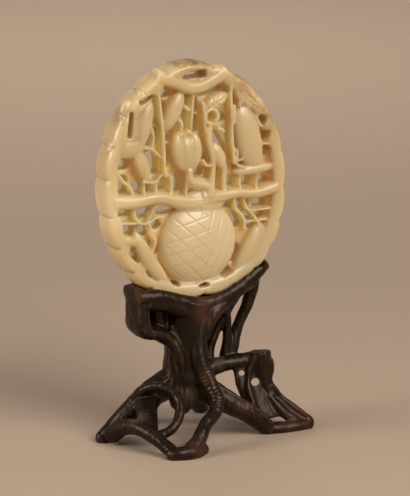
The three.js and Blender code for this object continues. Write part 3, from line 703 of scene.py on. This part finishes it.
def lobe_phase(size, angle):
    """Where an angle falls in its lobe, from -1 at one notch to 1 at the next."""
    turn = np.arctan2(np.sin(angle), np.cos(angle))
    around = np.abs(turn)
    inside = 2 * np.mod((around - TOP_LOBE) / lobe_pitch(size), 1) - 1
    return np.where(around < TOP_LOBE, turn / TOP_LOBE, inside)


def lobe_share(size, angle):
    notch = 1 - np.sqrt(np.clip(1 - 0.94 * lobe_phase(size, angle) ** 2, 0, 1))
    return 1 - notch * LOBE_DEPTH / (size.half_height / MM)


def blank(size):
    """The uncarved plaque: a disc pulled out ring by ring along the section of its rim."""
    top = np.linspace(-TOP_LOBE, TOP_LOBE, 2 * STEPS_PER_LOBE, endpoint=False)
    rest = np.linspace(TOP_LOBE, 2 * math.pi - TOP_LOBE, size.lobes * STEPS_PER_LOBE, endpoint=False)
    angles = np.concatenate([top, rest])
    free_selection()
    bpy.ops.mesh.primitive_circle_add(vertices=len(angles), radius=1, fill_type="NGON")
    made = bpy.context.object
    made.name = "blank"
    bpy.ops.object.mode_set(mode="EDIT")
    mesh = bmesh.from_edit_mesh(made.data)
    for step, (share, depth) in enumerate(SECTION):
        if step:
            bpy.ops.mesh.extrude_region_move()
            mesh = bmesh.from_edit_mesh(made.data)
        lobed = 1 - (1 - lobe_share(size, angles)) * smooth_step(np.array([share]), 0.88, 0.97)
        x, z = oval_point(size, angles, share * lobed)
        ring = [vertex for face in mesh.faces if face.select for vertex in face.verts]
        for vertex, across, up in zip(ring, x, z):
            vertex.co = (across, depth, up)
        bmesh.update_edit_mesh(made.data)
    bpy.ops.object.mode_set(mode="OBJECT")
    close_shell(made)
    return made


def pocket(start, end, breadth, end_breadth):
    """One sawn pocket right through the plaque: a long shape with rounded corners."""
    free_selection()
    bpy.ops.mesh.primitive_cylinder_add(vertices=32, radius=1, depth=24)
    made = bpy.context.object
    points = places(made)
    middle, axis, across = leaf_frame(start, end)
    reach = np.maximum((points[:, 0] ** 4 + points[:, 1] ** 4) ** (1 / 4), 1e-6)
    along = points[:, 0] / reach
    broad = breadth + (end_breadth - breadth) * (along + 1) / 2
    side = points[:, 1] / reach * broad / 2
    flat = middle + along[:, None] * axis / 2 + side[:, None] * across
    put(made, np.stack([flat[:, 0], points[:, 2], flat[:, 1]], axis=1))
    close_shell(made)
    return made


def basket():
    free_selection()
    bpy.ops.mesh.primitive_uv_sphere_add(segments=64, ring_count=40, radius=1)
    made = bpy.context.object
    bpy.ops.object.mode_set(mode="EDIT")
    bpy.ops.mesh.select_all(action="SELECT")
    bpy.ops.transform.resize(value=(BASKET["half_width"], BASKET["half_depth"], BASKET["half_height"]))
    bpy.ops.transform.translate(value=(BASKET["x"], BASKET["y"], BASKET["z"]))
    bpy.ops.object.mode_set(mode="OBJECT")
    return made


def stroke(flat, route, half, depth):
    """Depth at each flat place of a tapering cut along a route."""
    deepest = np.zeros(len(flat))
    for start, end in zip(route[:-1], route[1:]):
        start = np.array(start)
        axis = np.array(end) - start
        along = np.clip((flat - start) @ axis / (axis @ axis), 0, 1)
        gap = np.linalg.norm(flat - start - along[:, None] * axis, axis=1)
        deepest = np.maximum(deepest, depth * np.clip(1 - gap / half, 0, 1))
    return deepest


def leaf_cuts(flat, base, tip, width, bow, veins):
    """Midrib and side veins of one leaf."""
    middle, axis, across = leaf_frame(base, tip)

    def line(along):
        return middle + axis * along / 2 + across * bow * (1 - along**2)

    rib = [line(along) for along in np.linspace(-0.8, 0.85, 7)]
    deepest = stroke(flat, rib, LEAF_CUT["rib_half"], LEAF_CUT["rib_depth"])
    for index in range(veins):
        start = -0.55 + 0.4 * index
        for side in (-1, 1):
            spread = across * side * width * 0.36
            route = [line(start), line(start + 0.22) + spread * 0.6, line(start + 0.4) + spread]
            vein = stroke(flat, route, LEAF_CUT["vein_half"], LEAF_CUT["vein_depth"])
            deepest = np.maximum(deepest, vein)
    return deepest


def basket_cuts(points):
    """Depth of the plaited lines on the front of the basket."""
    x = points[:, 0] - BASKET["x"]
    z = points[:, 2] - BASKET["z"]
    woven = np.zeros(len(points))
    for slope, spacing, first, last in WEAVE:
        turn = math.radians(slope)
        across = z * math.cos(turn) - x * math.sin(turn)
        gap = np.abs(np.mod(across / spacing + 0.5, 1) - 0.5) * spacing
        begun = smooth_step(x, first, first + WEAVE_CUT["fade"])
        ended = smooth_step(x, last - WEAVE_CUT["fade"], last)
        shown = begun * (1 - ended)
        woven = np.maximum(woven, WEAVE_CUT["depth"] * np.clip(1 - gap / WEAVE_CUT["half"], 0, 1) * shown)
    inside = (x / BASKET["half_width"]) ** 2 + (z / BASKET["half_height"]) ** 2 < WEAVE_CUT["within"]
    return np.where(inside & (points[:, 1] < WEAVE_CUT["front"]), woven, 0)


def front_cuts(points, normals):
    """Depth of the incised lines on the front of the plaque at each vertex."""
    flat = points[:, [0, 2]]
    deepest = basket_cuts(points)
    for base, tip, width, bow, *_, veins in LEAVES:
        if veins:
            deepest = np.maximum(deepest, leaf_cuts(flat, base, tip, width, bow, veins))
    for foot, top in FLUTES:
        route = [(foot, FLUTE_CUT["foot"]), (top, FLUTE_CUT["top"])]
        deepest = np.maximum(deepest, stroke(flat, route, FLUTE_CUT["half"], FLUTE_CUT["depth"]))
    for shift in STRIAE["shifts"]:
        route = [(x + shift, z) for x, z in STRIAE["route"]]
        deepest = np.maximum(deepest, stroke(flat, route, STRIA_CUT["half"], STRIA_CUT["depth"]))
    return deepest * smooth_step(-normals[:, 1], 0.25, 0.6) * (points[:, 1] < INCISED_FRONT)


def rim_cuts(size, points):
    """Depth of the lines cut across the thick side of the rim between its lobes."""
    angle, share = oval_place(size, points)
    turn = np.abs(np.arctan2(np.sin(angle), np.cos(angle)))
    radius = np.hypot(points[:, 0], points[:, 2])
    from_notch = np.abs(np.mod((turn - TOP_LOBE) / lobe_pitch(size) + 0.5, 1) - 0.5) * lobe_pitch(size)
    gap = np.where(turn < TOP_LOBE - 0.1, 99, from_notch * radius)
    shown = smooth_step(share, RIM_CUT["from"], RIM_CUT["full"])
    return RIM_CUT["depth"] * np.clip(1 - gap / RIM_CUT["half"], 0, 1) * shown


def unevenness(points, scale, seed):
    """Smooth noise at each place, from about -1 to 1."""
    shift = Vector((seed * 7.3, seed * 3.1, seed * 5.7))
    return np.array([noise.noise(Vector(point) / scale + shift) for point in points])


def patches(points, places_of):
    """Soft round patches on the plaque, as a share at each vertex."""
    cover = np.zeros(len(points))
    for x, z, start, end in places_of:
        gap = np.hypot(points[:, 0] - x, points[:, 2] - z)
        cover = np.maximum(cover, 1 - smooth_step(gap, start, end))
    return cover


def paint_plaque(size, plaque):
    """Marks where the stone is recessed, with amber dirt and a painted glow, and where it is incised,
    spotted, paler or painted lighter, or brown, for its material.
    """
    points = places(plaque)
    normals = facing(plaque)
    _, share = oval_place(size, points)
    # The pocket walls take amber dirt and a painted glow of light through the stone.
    inside = 1 - smooth_step(share, *RECESS_DIRT_AND_GLOW["rim"])
    buried = smooth_step(points[:, 1], *RECESS_DIRT_AND_GLOW["front"]) * (1 - smooth_step(points[:, 1], *RECESS_DIRT_AND_GLOW["back"]))
    mark(plaque, "recess_dirt_and_glow", inside * buried)
    on_front = front_cuts(points, normals) / LEAF_CUT["vein_depth"]
    on_rim = rim_cuts(size, points) / RIM_CUT["depth"]
    mark(plaque, "incised", np.clip(np.maximum(on_front, on_rim), 0, 1))
    spots = np.zeros(len(points))
    for x, z, radius in STAINS:
        gap = np.hypot(points[:, 0] - x, points[:, 2] - z)
        spots = np.maximum(spots, np.clip(1 - gap / radius, 0, 1))
    mark(plaque, "spots", spots * (share > STAIN_SHARE))
    # Paler round the basket, and painted light making the left of the plaque paler.
    mark(plaque, "paler_and_painted_light", patches(points, PALE_AND_PAINTED_LIGHT))
    mark(plaque, "skin", patches(points, SKIN) * smooth_step(share, *SKIN_SHARE))


def carve_plaque(size):
    """Saws the blank through, lays the relief on it, joins all in one skin and incises the lines."""
    ground = blank(size)
    cut(ground, join([pocket(*place) for place in POCKETS], "pockets"))
    relief = [leaf(*sizes[:6]) for sizes in LEAVES]
    relief += [band(*sizes) for sizes in BANDS.values()]
    for group in TENDRILS.values():
        relief += [band(stations, front, TENDRIL_BACK) for stations, front in group]
    relief += [bud_cup(), basket()]
    plaque = join([ground] + relief, "jade_carving")
    apply_modifier(plaque, "REMESH", mode="VOXEL", voxel_size=size.grain / MM)
    for window in WINDOWS:
        cut(plaque, pocket(*window))
    apply_modifier(plaque, "SMOOTH", factor=0.5, iterations=3)
    points = places(plaque)
    normals = facing(plaque)
    depth = np.maximum(front_cuts(points, normals), rim_cuts(size, points))
    put(plaque, points - normals * depth[:, None])
    thin(plaque, size.triangles)
    paint_plaque(size, plaque)
    settle(plaque, CARVING_HEIGHT)
    pick(plaque)
    bpy.ops.object.shade_smooth()
    return plaque


def slab(stations, axis, deep):
    """A limb whose section is squared off across its depth. Its stations rise along one axis."""
    made = limb(stations, sides=BROAD_SIDES)
    points = places(made)
    course = np.array(sorted(stations, key=lambda station: station[axis]))
    radius = np.interp(points[:, axis], course[:, axis], course[:, 3])
    side = np.clip(points[:, 1] / radius, -1, 1)
    points[:, 1] = np.sign(side) * np.abs(side) ** SLAB_SQUARENESS * radius * deep
    put(made, points)
    return made


def web():
    """The thin web under the right root, spread out sideways about its path."""
    made = limb(RIGHT_WEB)
    points = places(made)
    course = np.array(RIGHT_WEB[::-1])
    middle = np.interp(points[:, 2], course[:, 2], course[:, 0])
    points[:, 0] = middle + (points[:, 0] - middle) * WEB_BREADTH
    put(made, points)
    return made


def groove(size):
    """The room that the plaque takes up in the saddle, with a clearance all round."""
    free_selection()
    bpy.ops.mesh.primitive_cylinder_add(vertices=160, radius=1, depth=2 * GROOVE["half_depth"])
    made = bpy.context.object
    points = places(made)
    angle = np.arctan2(points[:, 0], points[:, 1])
    x, z = oval_point(size, angle, 1.0, GROOVE["gap"])
    put(made, np.stack([x, points[:, 2], z + CARVING_HEIGHT / MM], axis=1))
    close_shell(made)
    return made


def knot_holes():
    """The bores of the knot-holes, as one cutter."""
    made = []
    for x, z, radius in KNOT_HOLES:
        free_selection()
        bpy.ops.mesh.primitive_cylinder_add(
            vertices=16, radius=radius, depth=KNOT_BORE["length"], location=(x, KNOT_BORE["y"], z),
            rotation=KNOT_BORE["slant"])
        bpy.ops.object.transform_apply(location=True, rotation=True, scale=True)
        made.append(bpy.context.object)
    return join(made, "knot_holes")


def root_wrinkles(points):
    """Ring wrinkles across the front root, as a height at each vertex."""
    near = np.full(len(points), 1e9)
    along = np.zeros(len(points))
    height = np.zeros(len(points))
    travelled = 0.0
    stations = np.array(LIMBS["front_root"])[:, :3]
    for start, end in zip(stations[:-1], stations[1:]):
        axis = end - start
        share = np.clip((points - start) @ axis / (axis @ axis), 0, 1)
        foot = start + share[:, None] * axis
        gap = np.linalg.norm(points - foot, axis=1)
        closer = gap < near
        near = np.where(closer, gap, near)
        height = np.where(closer, foot[:, 2], height)
        along = np.where(closer, travelled + share * np.linalg.norm(axis), along)
        travelled += np.linalg.norm(axis)
    shown = smooth_step(height, WRINKLES["to"] - 2, WRINKLES["to"] + 3)
    shown = shown * (1 - smooth_step(height, WRINKLES["from"] - 8, WRINKLES["from"]))
    shown = shown * (1 - smooth_step(near, WRINKLES["reach"] * 0.75, WRINKLES["reach"]))
    along = along + WRINKLES["wander"] * unevenness(points, 2.6, 3)
    ring = np.abs(np.sin(math.pi * along / WRINKLES["pitch"]))
    return -WRINKLES["depth"] * (1 - ring) * shown


def near_to(points, spots):
    """How near each vertex lies to any of the given spots, fading out over their reach."""
    cover = np.zeros(len(points))
    for x, y, z, reach in spots:
        gap = np.linalg.norm(points - (x, y, z), axis=1)
        cover = np.maximum(cover, 1 - smooth_step(gap, reach * 0.35, reach))
    return cover


def tool_work(size, points, normals):
    """Height of the gnarl and the wrinkles at each vertex, none at the feet and in the seat."""
    broad = unevenness(points, 4.0, 1)
    fine = unevenness(points * np.array([1.0, 1.0, 0.35]), 1.1, 2)
    gnarl = size.gnarl / MM * (broad + 0.4 * fine)
    free = np.clip(points[:, 2] / 2, 0, 1)
    in_groove = np.abs(points[:, 1]) < GROOVE["half_depth"] + GROOVE["margin"]
    seated = in_groove & (points[:, 2] > GROOVE["height"]) & (normals[:, 2] > 0.2)
    return (gnarl + root_wrinkles(points)) * free * ~seated


def paint_stand(stand):
    """Marks where the wood is rubbed and where dust lies, for its material."""
    lift = bends(stand)
    points = places(stand)
    rubbed = np.maximum(smooth_step(lift, *EDGE_BULGE), PLACED_WEAR * near_to(points, RUBBED))
    hollow = np.maximum(smooth_step(-lift, *HOLLOW_BULGE), PLACED_WEAR * near_to(points, DUST))
    mark(stand, "rubbed", rubbed)
    mark(stand, "hollow", hollow)


def carve_stand(size, plaque_size):
    """Joins limbs and strands in one skin, bores it, seats the plaque, tools it and levels its feet."""
    shells = [
        slab(SADDLE, 0, DEEP["saddle"]),
        slab(LEFT_BRACKET, 2, DEEP["bracket"]),
        limb(RIGHT_ARM, DEEP["arm"], BROAD_SIDES),
        web(),
    ]
    shells += [limb(stations) for stations in list(LIMBS.values()) + list(STRANDS.values())]
    stand = join(shells, "root_stand")
    apply_modifier(stand, "REMESH", mode="VOXEL", voxel_size=size.grain / MM)
    apply_modifier(stand, "SMOOTH", factor=0.5, iterations=10)
    cut(stand, knot_holes())
    cut(stand, groove(plaque_size))
    points = places(stand)
    normals = facing(stand)
    put(stand, points + normals * tool_work(size, points, normals)[:, None])
    pick(stand)
    bpy.ops.object.mode_set(mode="EDIT")
    bpy.ops.mesh.select_all(action="SELECT")
    bpy.ops.mesh.bisect(plane_co=(0, 0, 0), plane_no=(0, 0, 1), use_fill=True, clear_inner=True)
    bpy.ops.object.mode_set(mode="OBJECT")
    thin(stand, size.triangles)
    paint_stand(stand)
    settle(stand, 0)
    pick(stand)
    bpy.ops.object.shade_smooth_by_angle(angle=math.radians(40))
    return stand


def node(tree, kind, **settings):
    made = tree.nodes.new(kind)
    for key, value in settings.items():
        setattr(made, key, value)
    return made


def mottle_group():
    """Cloudy mottling at two scales, for stone and wood alike."""
    if "Mottle" in bpy.data.node_groups:
        return bpy.data.node_groups["Mottle"]
    group = bpy.data.node_groups.new("Mottle", "ShaderNodeTree")
    group.interface.new_socket("Scale", in_out="INPUT", socket_type="NodeSocketFloat")
    group.interface.new_socket("Stretch", in_out="INPUT", socket_type="NodeSocketVector")
    group.interface.new_socket("Clouds", in_out="OUTPUT", socket_type="NodeSocketFloat")
    group.interface.new_socket("Grain", in_out="OUTPUT", socket_type="NodeSocketFloat")
    inlet = node(group, "NodeGroupInput")
    outlet = node(group, "NodeGroupOutput")
    coordinate = node(group, "ShaderNodeTexCoord")
    stretched = node(group, "ShaderNodeVectorMath", operation="MULTIPLY")
    group.links.new(coordinate.outputs["Object"], stretched.inputs[0])
    group.links.new(inlet.outputs["Stretch"], stretched.inputs[1])
    finer = node(group, "ShaderNodeMath", operation="MULTIPLY")
    finer.inputs[1].default_value = 9
    group.links.new(inlet.outputs["Scale"], finer.inputs[0])
    for source, name, detail in ((inlet.outputs["Scale"], "Clouds", 3), (finer.outputs[0], "Grain", 5)):
        cloud = node(group, "ShaderNodeTexNoise")
        cloud.inputs["Detail"].default_value = detail
        group.links.new(stretched.outputs[0], cloud.inputs["Vector"])
        group.links.new(source, cloud.inputs["Scale"])
        group.links.new(cloud.outputs["Fac"], outlet.inputs[name])
    return group


def mottle(tree, scale, stretch):
    made = node(tree, "ShaderNodeGroup", node_tree=mottle_group())
    made.inputs["Scale"].default_value = scale
    made.inputs["Stretch"].default_value = stretch
    return made


def ranged(tree, value, low, high, start=0.0, end=1.0):
    """Maps a value from one range to another and holds it there."""
    made = node(tree, "ShaderNodeMapRange")
    made.inputs["From Min"].default_value = low
    made.inputs["From Max"].default_value = high
    made.inputs["To Min"].default_value = start
    made.inputs["To Max"].default_value = end
    tree.links.new(value, made.inputs["Value"])
    return made.outputs["Result"]


def arithmetic(tree, operation, first, second):
    made = node(tree, "ShaderNodeMath", operation=operation)
    for slot, value in enumerate((first, second)):
        if isinstance(value, (int, float)):
            made.inputs[slot].default_value = value
        else:
            tree.links.new(value, made.inputs[slot])
    return made.outputs[0]


def blended(tree, share, under, over):
    """One colour laid over another by a share."""
    made = node(tree, "ShaderNodeMix", data_type="RGBA")
    tree.links.new(share, made.inputs["Factor"])
    for name, colour in (("A", under), ("B", over)):
        socket = [s for s in made.inputs if s.name == name and s.type == "RGBA"][0]
        if isinstance(colour, bpy.types.NodeSocket):
            tree.links.new(colour, socket)
        else:
            socket.default_value = (*colour, 1)
    return [s for s in made.outputs if s.type == "RGBA"][0]


def painted(tree, name):
    return node(tree, "ShaderNodeAttribute", attribute_name=name).outputs["Fac"]


def new_material(name):
    material = bpy.data.materials.new(name)
    material.use_nodes = True
    return material, material.node_tree, material.node_tree.nodes["Principled BSDF"]


def bump(tree, shader, height, strength, distance):
    made = node(tree, "ShaderNodeBump")
    made.inputs["Strength"].default_value = strength
    made.inputs["Distance"].default_value = distance
    tree.links.new(height, made.inputs["Height"])
    tree.links.new(made.outputs["Normal"], shader.inputs["Normal"])


def jade_material(size):
    material, tree, shader = new_material("polished_jade")
    figure = mottle(tree, 70, (1, 1, 1))
    grain = figure.outputs["Grain"]
    cloudy = ranged(tree, figure.outputs["Clouds"], 0.45, 0.75, 0.0, 0.55)
    stone = blended(tree, cloudy, size.face, size.warm)
    # Paler round the basket, and painted light making the left of the plaque paler.
    stone = blended(tree, painted(tree, "paler_and_painted_light"), stone, size.paler_and_painted_light)
    skin = arithmetic(tree, "MULTIPLY", painted(tree, "skin"), ranged(tree, grain, 0.3, 0.65, 0.4, 1.0))
    stone = blended(tree, skin, stone, size.skin)
    # Pocket walls turn amber: partly dirt, partly a painted glow of light through the stone.
    deep = arithmetic(tree, "MULTIPLY", painted(tree, "recess_dirt_and_glow"), ranged(tree, grain, 0.3, 0.7, 0.75, 1.0))
    stone = blended(tree, deep, stone, size.recess_dirt_and_glow)
    lines = arithmetic(tree, "MULTIPLY", painted(tree, "incised"), 0.4)
    stone = blended(tree, lines, stone, size.warm)
    spots = arithmetic(tree, "MULTIPLY", painted(tree, "spots"), ranged(tree, grain, 0.4, 0.6, 0.2, 1.6))
    stone = blended(tree, arithmetic(tree, "MINIMUM", spots, 0.9), stone, size.stain)
    tree.links.new(stone, shader.inputs["Base Color"])
    tree.links.new(ranged(tree, grain, 0.3, 0.7, 0.28, 0.38), shader.inputs["Roughness"])
    shader.inputs["Subsurface Weight"].default_value = 1.0
    shader.inputs["Subsurface Radius"].default_value = (1.0, 0.85, 0.55)
    shader.inputs["Subsurface Scale"].default_value = 0.009
    shader.inputs["IOR"].default_value = 1.6
    bump(tree, shader, grain, 0.04, 0.0003)
    return material


def wood_material(size):
    material, tree, shader = new_material("root_wood")
    figure = mottle(tree, 160, (1, 1, 0.3))
    clouds = figure.outputs["Clouds"]
    worn = ranged(tree, clouds, 0.35, 0.65, 0.15, 1.0)
    rubbed = arithmetic(tree, "MULTIPLY", painted(tree, "rubbed"), worn)
    wood = blended(tree, rubbed, size.dark, size.worn)
    streaks = ranged(tree, figure.outputs["Grain"], 0.55, 0.75, 0.0, 0.25)
    wood = blended(tree, streaks, wood, size.worn)
    settled = ranged(tree, clouds, 0.45, 0.65, 0.0, 0.8)
    dust = arithmetic(tree, "MULTIPLY", painted(tree, "hollow"), settled)
    wood = blended(tree, dust, wood, size.dusty)
    tree.links.new(wood, shader.inputs["Base Color"])
    polish = ranged(tree, clouds, 0.3, 0.7, 0.28, 0.44)
    dull = arithmetic(tree, "ADD", polish, arithmetic(tree, "MULTIPLY", dust, 0.4))
    tree.links.new(dull, shader.inputs["Roughness"])
    shader.inputs["Specular IOR Level"].default_value = 0.25
    shader.inputs["Specular Tint"].default_value = (1, 0.86, 0.72, 1)
    bump(tree, shader, figure.outputs["Grain"], 0.1, 0.0002)
    return material


def floor_material(size):
    material, _, shader = new_material("plain_floor")
    shader.inputs["Base Color"].default_value = (*size.floor, 1)
    shader.inputs["Roughness"].default_value = 0.8
    shader.inputs["Specular IOR Level"].default_value = 0.2
    return material


def wear(piece, material):
    piece.data.materials.clear()
    piece.data.materials.append(material)


class CARVING_OT_plaque(bpy.types.Operator):
    """Carve the pierced jade plaque"""

    bl_idname = "carving.plaque"
    bl_label = "Carve Plaque"

    def execute(self, context):
        size = context.scene.jade_plaque
        plaque = carve_plaque(size)
        wear(plaque, jade_material(size))
        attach(plaque, "root")
        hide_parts("jade_plaque")
        return {"FINISHED"}


class CARVING_OT_stand(bpy.types.Operator):
    """Carve the root-wood stand"""

    bl_idname = "carving.stand"
    bl_label = "Carve Stand"

    def execute(self, context):
        size = context.scene.root_stand
        stand = carve_stand(size, context.scene.jade_plaque)
        wear(stand, wood_material(size))
        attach(stand, "root")
        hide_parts("wood_stand")
        return {"FINISHED"}


def lay_floor(size):
    """A wide flat floor that runs on behind the object."""
    free_selection()
    bpy.ops.mesh.primitive_plane_add(size=1)
    floor = bpy.context.object
    floor.name = "pale_floor"
    bpy.ops.object.mode_set(mode="EDIT")
    bpy.ops.mesh.select_all(action="SELECT")
    bpy.ops.transform.resize(value=(FLOOR_BREADTH, FLOOR_BREADTH, 1))
    bpy.ops.object.mode_set(mode="OBJECT")
    wear(floor, floor_material(size))


def way_out(azimuth, elevation):
    """The way out from the object at an angle round it and an angle up."""
    flat = math.cos(elevation)
    return Vector((math.sin(azimuth) * flat, -math.cos(azimuth) * flat, math.sin(elevation)))


def spot_round(azimuth, elevation, distance):
    """A place at an angle in degrees round the object and at a distance from its middle."""
    return STAGE_MIDDLE + way_out(math.radians(azimuth), math.radians(elevation)) * distance


def add_light(name, place, aim, size, power, colour, mirrored=True):
    """A soft square lamp at a place, aimed at another, that polished faces may mirror."""
    free_selection()
    bpy.ops.object.light_add(type="AREA", location=place)
    lamp = bpy.context.object
    lamp.name = name
    lamp.rotation_euler = (place - aim).to_track_quat("Z", "Y").to_euler()
    lamp.visible_camera = False
    lamp.visible_glossy = mirrored
    lamp.data.size = size
    lamp.data.energy = power
    lamp.data.color = colour


def add_camera(size):
    away = way_out(size.azimuth, size.elevation)
    free_selection()
    bpy.ops.object.camera_add(location=CAMERA_AIM + away * size.distance)
    camera = bpy.context.object
    camera.rotation_euler = away.to_track_quat("Z", "Y").to_euler()
    camera.data.sensor_fit = "VERTICAL"
    camera.data.sensor_height = SENSOR_HEIGHT
    camera.data.lens = SENSOR_HEIGHT * size.distance / MM * size.scale / PICTURE_HEIGHT
    camera.data.clip_end = 1.25 * FLOOR_BREADTH
    bpy.context.scene.camera = camera


class CARVING_OT_stage(bpy.types.Operator):
    """Lay out the floor, the lamps and the camera"""

    bl_idname = "carving.stage"
    bl_label = "Lay Stage"

    def execute(self, context):
        size = context.scene.carving_stage
        lay_floor(size)
        behind = math.degrees(size.azimuth) + 180
        beyond = spot_round(behind, *FLOOR_LAMP_AIM)
        add_light("front_lamp", spot_round(16, 36, 0.9), STAGE_MIDDLE, 0.6, 8.7, (1, 0.94, 0.86))
        add_light("side_lamp", spot_round(-97, 25, 0.9), STAGE_MIDDLE, 0.4, 5.4, (1, 0.93, 0.84))
        add_light("back_lamp", spot_round(158, 26, 0.9), STAGE_MIDDLE, 0.35, 1.4, (1, 0.94, 0.87), False)
        add_light("floor_lamp", spot_round(behind, 38.7, 0.7), beyond, 0.3, 1.2, (1, 0.94, 0.87), False)
        world = bpy.data.worlds.new("soft_room")
        world.use_nodes = True
        room = world.node_tree.nodes["Background"]
        room.inputs["Color"].default_value = ROOM_COLOUR
        room.inputs["Strength"].default_value = ROOM_STRENGTH
        context.scene.world = world
        context.scene.view_settings.view_transform = "Standard"
        add_camera(size)
        return {"FINISHED"}


class CARVING_PT_panel(bpy.types.Panel):
    """Sizes and steps of the carving"""

    bl_idname = "CARVING_PT_panel"
    bl_label = "Jade Carving"
    bl_space_type = "VIEW_3D"
    bl_region_type = "UI"
    bl_category = "Carving"

    def draw(self, context):
        for step, sizes in (
            ("carving.plaque", context.scene.jade_plaque),
            ("carving.stand", context.scene.root_stand),
            ("carving.stage", context.scene.carving_stage),
        ):
            box = self.layout.box()
            for name in sizes.__annotations__:
                box.prop(sizes, name)
            box.operator(step)


CLASSES = (
    PlaqueSettings,
    StandSettings,
    StageSettings,
    CARVING_OT_plaque,
    CARVING_OT_stand,
    CARVING_OT_stage,
    CARVING_PT_panel,
)


def register():
    for kind in CLASSES:
        bpy.utils.register_class(kind)
    bpy.types.Scene.jade_plaque = bpy.props.PointerProperty(type=PlaqueSettings)
    bpy.types.Scene.root_stand = bpy.props.PointerProperty(type=StandSettings)
    bpy.types.Scene.carving_stage = bpy.props.PointerProperty(type=StageSettings)


def unregister():
    del bpy.types.Scene.carving_stage
    del bpy.types.Scene.root_stand
    del bpy.types.Scene.jade_plaque
    for kind in reversed(CLASSES):
        bpy.utils.unregister_class(kind)


def main():
    register()
    bpy.ops.carving.plaque()
    bpy.ops.carving.stand()
    bpy.ops.carving.stage()


if __name__ == "__main__":
    main()
